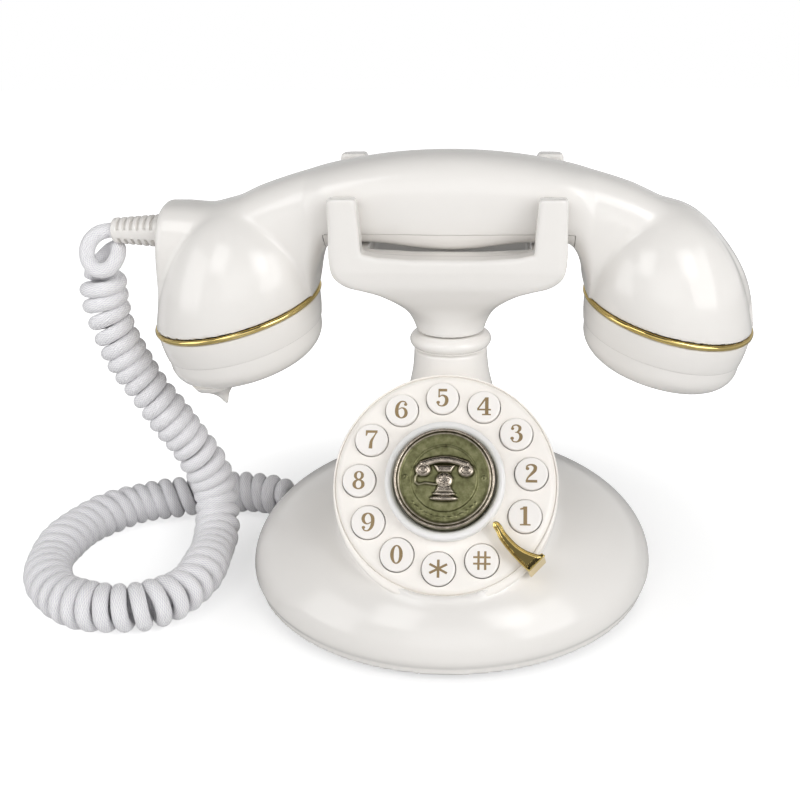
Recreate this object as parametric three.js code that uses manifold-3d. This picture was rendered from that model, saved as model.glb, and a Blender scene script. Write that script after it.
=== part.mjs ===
// Compact bedroom telephone: a round domed base with a push-button dial on its front, a
// column carrying a four-pronged cradle, and an arched handset on a curly cord.
// Millimetres, +Z up, +Y to the rear, origin on the resting surface under the base's centre.
import * as THREE from 'three';
import { mergeVertices } from 'three/addons/utils/BufferGeometryUtils.js';
import Module from 'manifold-3d';

const wasm = await Module();
wasm.setup();

const DEG = Math.PI / 180;

// ---------------------------------------------------------------- driving dimensions
const WALL = 2.4; // moulded shell thickness
const GAP = 0.3; // clearance between touching pieces

const FOOT_HEIGHT = 2.7;
const RIM_Z = 3; // lower edge of the base shell
const BASE_RADIUS = 76.8; // widest point of the dome
const DOME_Z = 9; // height of that widest point
const DOME_RISE = 35; // rise of the dome's ellipse above it
const COLUMN_TOP_Z = 92.5;
const COLUMN_RADIUS = 13.2; // narrowest part of the column, under the collar
const COLLAR_TOP_Z = 98.4;
const COLLAR_RADIUS = 14.8;

const DIAL_CENTRE = [0, -43, 57.9];
const DIAL_RISE = 36.7 * DEG; // how far the dial's normal points above the horizon
const DIAL_RADIUS = 37.8;
const DIAL_THICK = 4;
const FINGER_STOP_TURN = -41.5 * DEG;
const KEY_CIRCLE = 29.3;
const KEY_RADIUS = 5.6;
const KEY_PROUD = 1.6;
const KEY_LENGTH = 5.8;
const MEDALLION_RADIUS = 16.9;
const KEY_FIRST = -22.7 * DEG; // direction of key 1 from the dial's centre
const KEY_STEP = 28.97 * DEG;
const KEY_NAMES = ['1', '2', '3', '4', '5', '6', '7', '8', '9', '0', 'star', 'hash'];

const CRADLE_HALF_X = 40.4; // outer faces of the prongs
const CRADLE_HALF_Y = 22.4;
const PRONG_INNER_X = 29;
const CORRIDOR_HALF = 15.9; // half the clear depth between front and back prongs
const SEAT_U = 25.9; // height of the seat above the handset's ring line
const TRAY_U = 21;
const PRONG_TOP_Z = { front: 149.5, back: 159.3 };

const HANDSET_AT = [0, 5.5, 105.6]; // middle of the line that joins the two gold rings
const HANDSET_ROLL = 7 * DEG; // the handset leans towards the front
const CUP_X = 78.7; // ring centres, each side of the middle
const CUP_TILT = 12.45 * DEG; // the cups face inwards and down
const CUP_RADIUS = 31;
const CUP_RISE = 39;
const CUP_LEAN = 6; // a cup's crown leans towards the grip
const RING_CLEAR = 1.3; // half the groove that each gold ring fills
const GRIP_TOP = 57.1;
const GRIP_ARCH_RADIUS = 177;
const GRIP_HALF_DEPTH = 14.4;
const GRIP_BELLY = 23.4;
const CORD_END_X = -102.4; // flat end of the handset, where its cord comes out
const END_SLANT = 0.06; // outward shift of that end per millimetre downwards
const SEAM_U = 32;
const SEAM_HALF_X = 43;
const GRIP_SCREW_X = 34;
const BOOT_U = 28.6;
const BOOT_LENGTH = 17.2;
const SEAM_DROP = 11; // from a ring's middle down to its cap's seam
const CAP_FACE = -22.2;
const HORN_AT = [-11.5, -15.5];
const HORN_DROP = 8.8;
const CUP_SPLAY = 0.11; // outward shift of band and cap per millimetre below the ring

const COIL_RADIUS = 8.9;
const JACK_TURN = 152.5 * DEG; // direction of the handset jack from the base's centre
const JACK_Z = 10.2;
const LINE_JACK_X = -24;
const LINE_JACK_Z = 13.5;
const SWITCH_X = [6, 26];
const SWITCH_Z = 15;

// ---------------------------------------------------------------- finishes
const FINISHES = {
  shell: { color: 0xe9e7e3, roughness: 0.16, metalness: 0 },
  dialWhite: { color: 0xf6f0ea, roughness: 0.25, metalness: 0 },
  key: { color: 0xf1f0ee, roughness: 0.3, metalness: 0 },
  gold: { color: 0xcfa94e, roughness: 0.14, metalness: 1 },
  patina: { color: 0x8b8358, roughness: 0.45, metalness: 0.9 },
  rubber: { color: 0x9a9994, roughness: 0.8, metalness: 0 },
  insideGrey: { color: 0x5d6064, roughness: 0.55, metalness: 0 },
  board: { color: 0x2f6b45, roughness: 0.5, metalness: 0 },
  steel: { color: 0xb9bcc0, roughness: 0.3, metalness: 1 },
  cord: { color: 0xf2f1ef, roughness: 0.85, metalness: 0 },
};

// ---------------------------------------------------------------- geometry helpers
function closed(geometry) {
  const bare = geometry.clone();
  bare.deleteAttribute('normal');
  bare.deleteAttribute('uv');
  const merged = mergeVertices(bare, 1e-4);
  const corners = merged.index.array;
  const kept = [];
  for (let i = 0; i < corners.length; i += 3) {
    const [a, b, c] = [corners[i], corners[i + 1], corners[i + 2]];
    if (a !== b && b !== c && c !== a) kept.push(a, b, c);
  }
  if (signedVolume(merged.attributes.position, kept) < 0) kept.reverse();
  merged.setIndex(kept);
  return merged;
}

function signedVolume(points, corners) {
  const [a, b, c] = [new THREE.Vector3(), new THREE.Vector3(), new THREE.Vector3()];
  let six = 0;
  for (let i = 0; i < corners.length; i += 3) {
    a.fromBufferAttribute(points, corners[i]);
    b.fromBufferAttribute(points, corners[i + 1]);
    c.fromBufferAttribute(points, corners[i + 2]);
    six += a.dot(b.cross(c));
  }
  return six;
}

function solid(geometry) {
  const shape = closed(geometry);
  return new wasm.Manifold(
    new wasm.Mesh({
      numProp: 3,
      vertProperties: new Float32Array(shape.attributes.position.array),
      triVerts: new Uint32Array(shape.index.array),
    }),
  );
}

function geometryOf(manifold) {
  const mesh = manifold.getMesh();
  const geometry = new THREE.BufferGeometry();
  geometry.setAttribute('position', new THREE.BufferAttribute(mesh.vertProperties, 3));
  geometry.setIndex(new THREE.BufferAttribute(mesh.triVerts, 1));
  return geometry;
}

// A turned shape from [radius, height] pairs, its axis along +Z.
function turned(profile, sides) {
  const points = profile.map(([radius, height]) => new THREE.Vector2(radius, height));
  return new THREE.LatheGeometry(points, sides).rotateX(Math.PI / 2);
}

// A turned ring whose profile closes on itself.
function turnedRing(profile, sides) {
  return turned([...profile, profile[0]], sides);
}

function rod(radius, low, high, sides, topRadius = radius) {
  const length = high - low;
  const shape = new THREE.CylinderGeometry(topRadius, radius, length, sides);
  return shape.rotateX(Math.PI / 2).translate(0, 0, low + length / 2);
}

function block(sizeX, sizeY, sizeZ, centre = [0, 0, 0]) {
  return new THREE.BoxGeometry(sizeX, sizeY, sizeZ).translate(...centre);
}

function outline(points) {
  return new THREE.Shape(points.map(([x, y]) => new THREE.Vector2(x, y)));
}

// An outline in X and Z, as thick as depth along Y.
function frontExtrusion(shape, depth) {
  const body = new THREE.ExtrudeGeometry(shape, { depth, bevelEnabled: false });
  return body.rotateX(Math.PI / 2).translate(0, depth / 2, 0);
}

// An outline in Y and Z, as thick as width along X.
function sideExtrusion(shape, width) {
  const body = new THREE.ExtrudeGeometry(shape, { depth: width, bevelEnabled: false });
  const turn = new THREE.Matrix4().makeBasis(
    new THREE.Vector3(0, 1, 0),
    new THREE.Vector3(0, 0, 1),
    new THREE.Vector3(1, 0, 0),
  );
  return body.applyMatrix4(turn).translate(-width / 2, 0, 0);
}

function smoothStep(from, to, value) {
  const t = Math.min(1, Math.max(0, (value - from) / (to - from)));
  return t * t * (3 - 2 * t);
}

function mix(a, b, amount) {
  return a + (b - a) * amount;
}

function superEllipse(angle, power) {
  const bend = (value) => Math.sign(value) * Math.abs(value) ** (2 / power);
  return [bend(Math.cos(angle)), bend(Math.sin(angle))];
}

// Sections in Y and Z joined along X: a cylinder whose rings are moved to the stations.
function loftAlongX(stations, sides, section) {
  const last = stations.length - 1;
  const body = new THREE.CylinderGeometry(1, 1, 1, sides, last);
  const points = body.attributes.position;
  for (let i = 0; i < points.count; i += 1) {
    const x = stations[Math.round((0.5 - points.getY(i)) * last)];
    const reach = Math.round(Math.hypot(points.getX(i), points.getZ(i)));
    const angle = Math.atan2(points.getZ(i), points.getX(i));
    const [across, upright] = superEllipse(angle, 2.7);
    const { top, bottom, halfDepth } = section(x);
    const u = (top + bottom) / 2 + (reach * upright * (top - bottom)) / 2;
    points.setXYZ(i, x, reach * across * halfDepth, u);
  }
  return body;
}

// ---------------------------------------------------------------- frames and placing
const telephone = new THREE.Group();

const dialFrame = new THREE.Group();
dialFrame.position.set(...DIAL_CENTRE);
dialFrame.rotation.x = Math.PI / 2 - DIAL_RISE;
telephone.add(dialFrame);

const handsetFrame = new THREE.Group();
handsetFrame.position.set(...HANDSET_AT);
handsetFrame.rotation.x = HANDSET_ROLL;
telephone.add(handsetFrame);

const jackFrame = new THREE.Group();
jackFrame.position.set(0, 0, JACK_Z);
jackFrame.rotation.z = JACK_TURN;
telephone.add(jackFrame);

const cupFrames = {};
for (const [name, side] of [['mouth', -1], ['ear', 1]]) {
  const frame = new THREE.Group();
  frame.position.set(side * CUP_X, 0, 0);
  frame.rotation.y = side * CUP_TILT;
  handsetFrame.add(frame);
  cupFrames[name] = frame;
}

function add(frame, name, geometry, finish) {
  const material = new THREE.MeshStandardMaterial({ ...FINISHES[finish] });
  const mesh = new THREE.Mesh(closed(geometry), material);
  mesh.name = name;
  frame.add(mesh);
}

function placedIn(frame, geometry) {
  frame.updateWorldMatrix(true, false);
  return geometry.applyMatrix4(frame.matrixWorld);
}

function around(count, radius, firstAngle = 0) {
  const places = [];
  for (let i = 0; i < count; i += 1) {
    const angle = firstAngle + (i * 2 * Math.PI) / count;
    places.push([radius * Math.cos(angle), radius * Math.sin(angle)]);
  }
  return places;
}

// ---------------------------------------------------------------- base
const BASE_SIDES = 36;
const SCREW_PLACES = around(4, 60, 45 * DEG);
const FOOT_PLACES = around(4, 58, 0);
const SCREW_SINK = 1.6;

// The dome's ellipse up to where it starts to sweep into the column.
function domeProfile(inset) {
  const points = [[BASE_RADIUS - 1.6 - inset, RIM_Z - (inset ? 1 : 0)]];
  for (const degrees of [-10, 0, 12, 24, 36, 47, 56]) {
    const angle = degrees * DEG;
    const radius = (BASE_RADIUS - inset) * Math.cos(angle);
    const rise = degrees < 0 ? 18 : DOME_RISE - inset;
    points.push([radius, DOME_Z + rise * Math.sin(angle)]);
  }
  return points;
}

function columnProfile(inset) {
  const sweep = [[33, 43.5], [25.5, 51], [20.2, 61], [16.4, 74], [14, 84]];
  const points = sweep.map(([radius, z]) => [radius - inset, z - inset * 0.6]);
  points.push([COLUMN_RADIUS - inset, inset ? COLUMN_TOP_Z + 1 : COLUMN_TOP_Z]);
  return points;
}

function baseBody(inset) {
  const low = RIM_Z - (inset ? 1 : 0);
  const profile = [[0, low], ...domeProfile(inset), ...columnProfile(inset)];
  profile.push([0, profile[profile.length - 1][1]]);
  return solid(turned(profile, BASE_SIDES));
}

function makeBaseShell() {
  const housing = (radius, depth, front) => solid(placedIn(dialFrame, rod(radius, -depth, front, 32)));
  const dialFront = -DIAL_THICK - GAP;
  let shell = baseBody(0).add(housing(DIAL_RADIUS - 0.4, 30, dialFront));
  shell = shell.subtract(baseBody(WALL)).subtract(housing(DIAL_RADIUS - 2.3, 26, 0));
  shell = shell.subtract(housing(DIAL_RADIUS + GAP, DIAL_THICK + GAP, 6));
  const posts = SCREW_PLACES.map(([x, y]) => solid(rod(3.6, 5.4, 28.1, 8).translate(x, y, 0)));
  const pilots = SCREW_PLACES.map(([x, y]) => solid(rod(1.6, 3, 16, 6).translate(x, y, 0)));
  posts.forEach((post) => { shell = shell.add(post); });
  pilots.forEach((pilot) => { shell = shell.subtract(pilot); });
  const jackWindow = solid(placedIn(jackFrame, block(16, 12.6, 10.6, [BASE_RADIUS - 2, 0, 0])));
  const lineWindow = solid(block(13.6, 26, 12.6, [LINE_JACK_X, BASE_RADIUS - 9, LINE_JACK_Z]));
  shell = shell.subtract(jackWindow).subtract(lineWindow);
  for (const x of SWITCH_X) {
    shell = shell.subtract(solid(block(9, 16, 4, [x, BASE_RADIUS - 6, SWITCH_Z])));
  }
  return geometryOf(shell);
}

add(telephone, 'base_shell', makeBaseShell(), 'shell');

function makeBasePlate() {
  let plate = solid(rod(BASE_RADIUS - WALL - 2.2, RIM_Z, RIM_Z + 2.1, BASE_SIDES));
  for (const [x, y] of SCREW_PLACES) {
    plate = plate.subtract(solid(rod(3.5, RIM_Z - 1, RIM_Z + SCREW_SINK, 12).translate(x, y, 0)));
    plate = plate.subtract(solid(rod(1.7, RIM_Z, RIM_Z + 4, 10).translate(x, y, 0)));
  }
  return geometryOf(plate);
}
add(telephone, 'base_plate', makeBasePlate(), 'insideGrey');

FOOT_PLACES.forEach(([x, y], i) => {
  const foot = turned([[0, 0], [6.2, 0], [7, 0.8], [7, FOOT_HEIGHT], [0, FOOT_HEIGHT]], 20);
  add(telephone, `foot_${i + 1}`, foot.translate(x, y, 0), 'rubber');
});

SCREW_PLACES.forEach(([x, y], i) => {
  const seat = RIM_Z + SCREW_SINK - GAP;
  const screw = turned([[0, seat - 1], [3, seat - 1], [3, seat], [1.3, seat], [1.3, 14], [0, 14]], 12);
  add(telephone, `base_screw_${i + 1}`, screw.translate(x, y, 0), 'steel');
});

add(telephone, 'ballast_weight', block(56, 26, 6, [0, 30, 8.6]), 'steel');
add(telephone, 'main_board', block(58, 34, 1.6, [0, -8, 12]), 'board');
add(telephone, 'ringer', rod(11, 14, 22, 20).translate(22, 28, 0), 'insideGrey');

function makeSocket(sizeX, sizeY, sizeZ, hole) {
  const body = solid(block(sizeX, sizeY, sizeZ));
  const cavity = solid(block(hole.depth * 2, hole.width, hole.height, [sizeX / 2, 0, 0]));
  return geometryOf(body.subtract(cavity));
}

const lineSocket = makeSocket(15, 12.8, 11.8, { depth: 12, width: 9.6, height: 6.8 });
add(telephone, 'line_jack',
  lineSocket.rotateZ(Math.PI / 2).translate(LINE_JACK_X, BASE_RADIUS - 13.2, LINE_JACK_Z), 'insideGrey');

const handsetSocket = makeSocket(15, 12, 9.2, { depth: 12, width: 8.4, height: 6.8 });
add(jackFrame, 'handset_jack', handsetSocket.translate(BASE_RADIUS - 8.6, 0, 0), 'insideGrey');

['ringer_switch', 'tone_pulse_switch'].forEach((name, i) => {
  const y = Math.sqrt((BASE_RADIUS - 1.6) ** 2 - (SWITCH_X[i] + 3) ** 2);
  const knob = solid(block(3.4, 7, 3, [SWITCH_X[i] - 2, y - 2.6, SWITCH_Z]));
  const slide = solid(block(8, 2, 5, [SWITCH_X[i] - 2, y - 6.8, SWITCH_Z]));
  add(telephone, name, geometryOf(knob.add(slide)), 'insideGrey');
});

// ---------------------------------------------------------------- cradle
function makeCollar() {
  const low = COLUMN_TOP_Z + GAP;
  const bore = 9.6;
  const profile = [[bore, low], [COLUMN_RADIUS + 0.3, low]];
  for (const degrees of [-60, -30, 0, 30, 60]) {
    const angle = degrees * DEG;
    profile.push([COLLAR_RADIUS - 2.6 + 2.6 * Math.cos(angle), 95.6 + 2.6 * Math.sin(angle)]);
  }
  profile.push([12.4, COLLAR_TOP_Z], [bore, COLLAR_TOP_Z]);
  return turnedRing(profile, 28);
}
add(telephone, 'column_collar', makeCollar(), 'shell');

function cradleFront() {
  const foot = COLLAR_TOP_Z + GAP;
  const half = [
    [12.2, foot], [13.3, 102], [16, 107.5], [19.6, 112], [24.6, 115.6], [30, 117.7],
    [35.6, 119.4], [39, 122.6], [CRADLE_HALF_X, 127.5], [CRADLE_HALF_X - 0.4, 162],
    [PRONG_INNER_X + 2, 162], [PRONG_INNER_X, 131],
  ];
  const right = [...half, [15, 129.6], [0, 128.9]];
  const left = [...half].reverse().map(([x, z]) => [-x, z]);
  return outline([...right, [-15, 129.6], ...left]);
}

function cradleSide() {
  const foot = COLLAR_TOP_Z + GAP;
  const { front, back } = PRONG_TOP_Z;
  const flare = [[12.2, foot], [13, 104], [15, 109], [18.4, 114], [21.2, 119], [CRADLE_HALF_Y, 125]];
  const frontEdge = [...flare].reverse().map(([y, z]) => [-y, z]);
  return outline([
    [-CRADLE_HALF_Y, front - 1.2], ...frontEdge, ...flare, [CRADLE_HALF_Y, back - 1.2],
    [CRADLE_HALF_Y - 1.4, back], [0, back], [-14.5, front], [-CRADLE_HALF_Y + 1.4, front],
  ]);
}

// A box in the handset's own frame, from low to high, with its middle on the grip.
function handsetBox(sizeX, sizeY, low, high) {
  const middle = block(sizeX, sizeY, high - low, [0, 0, (low + high) / 2]);
  return solid(placedIn(handsetFrame, middle));
}

function makeYoke() {
  let yoke = solid(frontExtrusion(cradleFront(), 60));
  yoke = yoke.intersect(solid(sideExtrusion(cradleSide(), 90)));
  yoke = yoke.subtract(handsetBox(90, CORRIDOR_HALF * 2, SEAT_U, 80));
  yoke = yoke.subtract(handsetBox(PRONG_INNER_X * 2 - 2, 34, TRAY_U, SEAT_U + 1));
  yoke = yoke.subtract(solid(rod(9.6, COLLAR_TOP_Z - 1, 104, 24)));
  yoke = yoke.subtract(solid(rod(9.6, 103.9, 116, 24, 13)));
  return yoke.subtract(solid(rod(3.3, 110, 135, 16)));
}
add(telephone, 'cradle_yoke', geometryOf(makeYoke()), 'shell');

const plunger = turned([
  [0, 98.8], [4.6, 98.8], [4.6, 100.8], [2.9, 100.8], [2.9, 125.2], [1.8, 126.4], [0, 126.4],
], 12);
add(telephone, 'hook_plunger', plunger, 'key');
add(telephone, 'hook_switch', block(12, 7, 10, [0, 0, 92.4]), 'insideGrey');

// ---------------------------------------------------------------- dial
const keyPlaces = KEY_NAMES.map((name, i) => {
  const angle = KEY_FIRST + i * KEY_STEP;
  return { name, x: KEY_CIRCLE * Math.cos(angle), y: KEY_CIRCLE * Math.sin(angle) };
});

function makeDialPlate() {
  const profile = [
    [0, -DIAL_THICK], [DIAL_RADIUS - 0.6, -DIAL_THICK], [DIAL_RADIUS, -DIAL_THICK + 0.8],
    [DIAL_RADIUS, -1.3], [DIAL_RADIUS - 0.5, -0.4], [DIAL_RADIUS - 1.5, 0], [0, 0],
  ];
  let plate = solid(turned(profile, 36));
  for (const { x, y } of keyPlaces) {
    plate = plate.subtract(solid(rod(KEY_RADIUS + GAP, -6, 2, 14).translate(x, y, 0)));
  }
  return geometryOf(plate);
}
add(dialFrame, 'dial_plate', makeDialPlate(), 'dialWhite');

for (const { name, x, y } of keyPlaces) {
  const low = KEY_PROUD - KEY_LENGTH;
  const profile = [
    [0, low], [KEY_RADIUS, low], [KEY_RADIUS, KEY_PROUD - 0.5],
    [KEY_RADIUS - 0.6, KEY_PROUD], [0, KEY_PROUD],
  ];
  add(dialFrame, `key_${name}`, turned(profile, 14).translate(x, y, 0), 'key');
}

const ringProfile = [
  [17.5, GAP], [20.4, GAP], [20.4, 3.6], [19.8, 4.5], [18.4, 4.6], [17.5, 3.8],
];
add(dialFrame, 'centre_ring', turnedRing(ringProfile, 28), 'key');
const medallionProfile = [
  [0, GAP], [MEDALLION_RADIUS, GAP], [MEDALLION_RADIUS, 6.6], [16.2, 7.9], [15, 8],
  [14.2, 7], [0, 7],
];
add(dialFrame, 'medallion', turned(medallionProfile, 28), 'patina');

function makeFingerStop() {
  const [tip, heel] = [21, 41];
  const blade = outline([[tip, -0.9], [tip + 0.8, -1.5], [heel, -3.9], [heel, 3.9], [tip + 0.8, 1.5], [tip, 0.9]]);
  const top = new THREE.ExtrudeGeometry(blade, { depth: 1.6, bevelEnabled: false }).translate(0, 0, 3.2);
  const leg = block(2.4, 7.8, 10.2, [heel - 1.2, 0, -0.3]);
  return geometryOf(solid(top).add(solid(leg))).rotateZ(FINGER_STOP_TURN);
}
add(dialFrame, 'finger_stop', makeFingerStop(), 'gold');
add(dialFrame, 'key_mat', rod(34, -8.6, -6.7, 32), 'rubber');
add(dialFrame, 'keypad_board', rod(34, -10.6, -8.9, 32), 'board');

// ---------------------------------------------------------------- handset shells
function ringPlane(x) {
  return (CUP_X - Math.abs(x)) * Math.tan(CUP_TILT);
}

function gripTop(x) {
  const arch = GRIP_TOP - (x * x) / (2 * GRIP_ARCH_RADIUS);
  if (x < 0) {
    const shoulder = mix(arch, 39.1, smoothStep(-66, -94, x));
    return shoulder - 3 * smoothStep(CORD_END_X + 3, CORD_END_X, x) ** 2;
  }
  const crown = 48.5 * Math.sqrt(Math.max(0, 1 - ((Math.max(x, 58) - 58) / 51) ** 2)) - 6;
  return mix(arch, crown, smoothStep(62, 84, x));
}

function gripBottom(x) {
  const reach = Math.abs(x);
  if (reach > 48.3) return ringPlane(x) + RING_CLEAR;
  const belly = GRIP_BELLY + 3.2 * smoothStep(0, 32, reach);
  const cheek = Math.max(0, (reach - 38) / 10.4) ** 3.2;
  return belly - 18.6 * cheek;
}

function gripHalfDepth(x) {
  return GRIP_HALF_DEPTH * Math.sqrt(Math.max(0.1, 1 - Math.max(0, (x - 88) / 20) ** 2));
}

function makeGrip() {
  const stations = [CORD_END_X, CORD_END_X + 0.8, CORD_END_X + 2.6, -90, -76, -62, -48.4, -46.6, -43.5, -41];
  stations.push(-38, -30, -15, 0, 15, 30, 38, 41, 43.5, 46.6, 48.4, 60, 72, 82, 91, 98, 103.5);
  const body = loftAlongX(stations, 16, (x) => ({
    top: gripTop(x), bottom: gripBottom(x), halfDepth: gripHalfDepth(x),
  }));
  return solid(slanted(body));
}

// The flat cord end leans: its lower edge stands further out than its upper edge.
function slanted(body) {
  const points = body.attributes.position;
  for (let i = 0; i < points.count; i += 1) {
    const beyond = Math.max(0, -88 - points.getX(i)) / 14;
    points.setX(i, points.getX(i) - beyond * END_SLANT * (34 - points.getZ(i)));
  }
  return body;
}

function makeGripHollow() {
  const stations = [-98.6, -86, -72, -58, -51, -50.8, -47, -42, -30, -15, 0];
  stations.push(15, 30, 42, 47, 50.8, 51, 62, 74, 84, 92, 98);
  const floor = (x) => {
    if (Math.abs(x) > 50.9) return ringPlane(x) - 2;
    return gripBottom(Math.max(0, Math.abs(x) - WALL - 0.3)) + WALL;
  };
  return solid(loftAlongX(stations, 12, (x) => ({
    top: gripTop(x) - WALL, bottom: floor(x), halfDepth: gripHalfDepth(x) - WALL,
  })));
}

// One cup: a dome on the tilted ring plane whose crown leans towards the grip.
function makeCup(side, inset) {
  const radius = CUP_RADIUS - inset;
  const rise = CUP_RISE - inset;
  const profile = inset ? [[0, -3], [radius, -3]] : [[0, 0]];
  for (let degrees = 0; degrees < 90; degrees += 18) {
    profile.push([radius * Math.cos(degrees * DEG), rise * Math.sin(degrees * DEG)]);
  }
  profile.push([0, rise]);
  return solid(leaning(turned(profile, inset ? 22 : 28), side, rise));
}

function leaning(dome, side, rise) {
  const points = dome.attributes.position;
  for (let i = 0; i < points.count; i += 1) {
    const h = points.getZ(i);
    const nearRing = Math.min(1, 1 - h / rise);
    const across = points.getX(i) * mix(1, Math.cos(CUP_TILT), nearRing);
    const x = side * (CUP_X - CUP_LEAN * (1 - nearRing ** 2)) + across;
    const drop = side * points.getX(i) * Math.sin(CUP_TILT) * nearRing;
    points.setXYZ(i, x, points.getY(i), h - drop + RING_CLEAR);
  }
  return dome;
}

function makeHandsetShell() {
  let shell = makeGrip().add(makeCup(-1, 0)).add(makeCup(1, 0));
  return shell.subtract(makeGripHollow()).subtract(makeCup(-1, WALL)).subtract(makeCup(1, WALL));
}

function seamBox(clear) {
  const height = SEAM_U + clear;
  return solid(block((SEAM_HALF_X + clear) * 2, 40, height, [0, 0, height / 2]));
}

const handsetShell = makeHandsetShell();

function makeHandsetBody() {
  let body = handsetShell.subtract(seamBox(GAP / 2));
  for (const x of [-GRIP_SCREW_X, GRIP_SCREW_X]) {
    body = body.add(solid(rod(3.4, SEAM_U + 0.5, gripTop(x) - 1, 12).translate(x, 0, 0)));
    body = body.subtract(solid(rod(1.5, SEAM_U - 2, SEAM_U + 10, 10).translate(x, 0, 0)));
  }
  return geometryOf(body);
}
add(handsetFrame, 'handset_body', makeHandsetBody(), 'shell');

function makeGripUnderside() {
  let cover = handsetShell.intersect(seamBox(-GAP / 2));
  for (const x of [-GRIP_SCREW_X, GRIP_SCREW_X]) {
    cover = cover.subtract(solid(rod(1.6, 20, 40, 10).translate(x, 0, 0)));
    cover = cover.subtract(solid(rod(3, 20, gripBottom(x) + 1.4, 12).translate(x, 0, 0)));
  }
  return geometryOf(cover);
}
add(handsetFrame, 'grip_underside', makeGripUnderside(), 'shell');

[-GRIP_SCREW_X, GRIP_SCREW_X].forEach((x, i) => {
  const seat = gripBottom(x) + 1.4 - GAP;
  const profile = [[0, seat - 1], [2.6, seat - 1], [2.6, seat], [1.2, seat], [1.2, SEAM_U + 9], [0, SEAM_U + 9]];
  add(handsetFrame, `grip_screw_${i + 1}`, turned(profile, 12).translate(x, 0, 0), 'steel');
});
add(handsetFrame, 'handset_weight', block(40, 16, 8, [0, 0, 45]), 'steel');

const bootEnd = CORD_END_X - END_SLANT * (34 - BOOT_U + 5.9) - 0.4;
const boot = rod(5.9, 0, BOOT_LENGTH, 16, 4.5).rotateY(-Math.PI / 2);
add(handsetFrame, 'cord_boot', boot.translate(bootEnd, 0, BOOT_U), 'shell');

// ---------------------------------------------------------------- cups
function makeTrimRing() {
  const points = [];
  for (const [x, y] of around(6, 0.95)) points.push([CUP_RADIUS - 0.35 + x, y]);
  return turnedRing(points, 28);
}

function makeBand() {
  return turnedRing([
    [27, -RING_CLEAR], [30.8, -RING_CLEAR], [30.5, -6], [29.7, -SEAM_DROP], [27.2, -SEAM_DROP],
  ], 28);
}

function makeCap() {
  const top = -SEAM_DROP - GAP;
  let cap = solid(turned([
    [0, CAP_FACE], [21, CAP_FACE], [25, -21.2], [27.8, -18.8], [29.1, -15], [29.4, top],
    [27.2, top], [26.8, -15], [24, -18.8], [0, -19.8],
  ], 28));
  for (const [x, y] of [[0, 0], ...around(6, 8)]) {
    cap = cap.subtract(solid(rod(1.3, -24, -16, 6).translate(x, y, 0)));
  }
  return geometryOf(cap);
}

for (const [name, side] of [['mouth', -1], ['ear', 1]]) {
  const splay = new THREE.Matrix4().makeShear(0, 0, 0, 0, -side * CUP_SPLAY, 0);
  add(cupFrames[name], `${name}_trim_ring`, makeTrimRing(), 'gold');
  add(cupFrames[name], `${name}_band`, makeBand().applyMatrix4(splay), 'shell');
  add(cupFrames[name], `${name}_cap`, makeCap().applyMatrix4(splay), 'shell');
}
add(cupFrames.ear, 'ear_speaker', rod(18, -13, -6, 28), 'insideGrey');
add(cupFrames.mouth, 'microphone', rod(5, -16, -10, 16), 'insideGrey');

const horn = turned([[0, 0], [1.5, 0.2], [3.2, 3], [5.4, 6.2], [8, HORN_DROP], [0, HORN_DROP]], 20);
add(cupFrames.mouth, 'mouth_horn', horn.translate(...HORN_AT, CAP_FACE - GAP - HORN_DROP), 'shell');

// ---------------------------------------------------------------- curly cord
const COIL_ROUTE = [
  [-126.4, 2, 128], [-127.3, 2.4, 118], [-127.6, 3, 106], [-125.6, 4, 93.5], [-121.6, 6, 80.8],
  [-115.8, 8, 68.4], [-109.4, 10, 56], [-103.2, 13, 43], [-99, 15, 31], [-96.8, 13, 19.5],
  [-95.4, 5, 11.4], [-94.4, -6, 9.3], [-93.8, -18, 9.3], [-94.6, -30, 9.3], [-98.8, -40.5, 9.3],
  [-106.8, -47.2, 9.3], [-117.3, -49.4, 9.3], [-128.3, -48.4, 9.3], [-139.6, -43, 9.3],
  [-149, -32.5, 9.3], [-154.4, -19, 9.3], [-155.6, -4.5, 9.3], [-152.8, 9.5, 9.3],
  [-146.4, 21.4, 9.3], [-137.6, 29.9, 9.3], [-127, 35.3, 9.3], [-115.8, 39, 9.3],
  [-105.4, 42.2, 9.3], [-95.2, 43.6, 9.3], [-85.4, 42.6, 9.3], [-78, 40.1, 9.3],
  [-71.2, 37.1, 9.3],
];
const coilPath = new THREE.CatmullRomCurve3(
  COIL_ROUTE.map((point) => new THREE.Vector3(...point)), false, 'centripetal',
);
const coilSection = outline(around(10, COIL_RADIUS));
const coil = new THREE.ExtrudeGeometry(coilSection, { steps: 48, extrudePath: coilPath });
add(telephone, 'curly_cord', coil, 'cord');
add(jackFrame, 'cord_plug', block(13.4, 7.6, 6, [BASE_RADIUS - 4, 0, 0]), 'insideGrey');

export default telephone;
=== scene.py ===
"""Looks of the compact bedroom telephone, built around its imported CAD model.

Lengths below are in millimetres in the CAD frame, and become metres where a mesh is made.
"""
import math

import bmesh
import bpy
import numpy as np
from mathutils import Matrix, Vector
from mathutils.geometry import delaunay_2d_cdt


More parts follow.
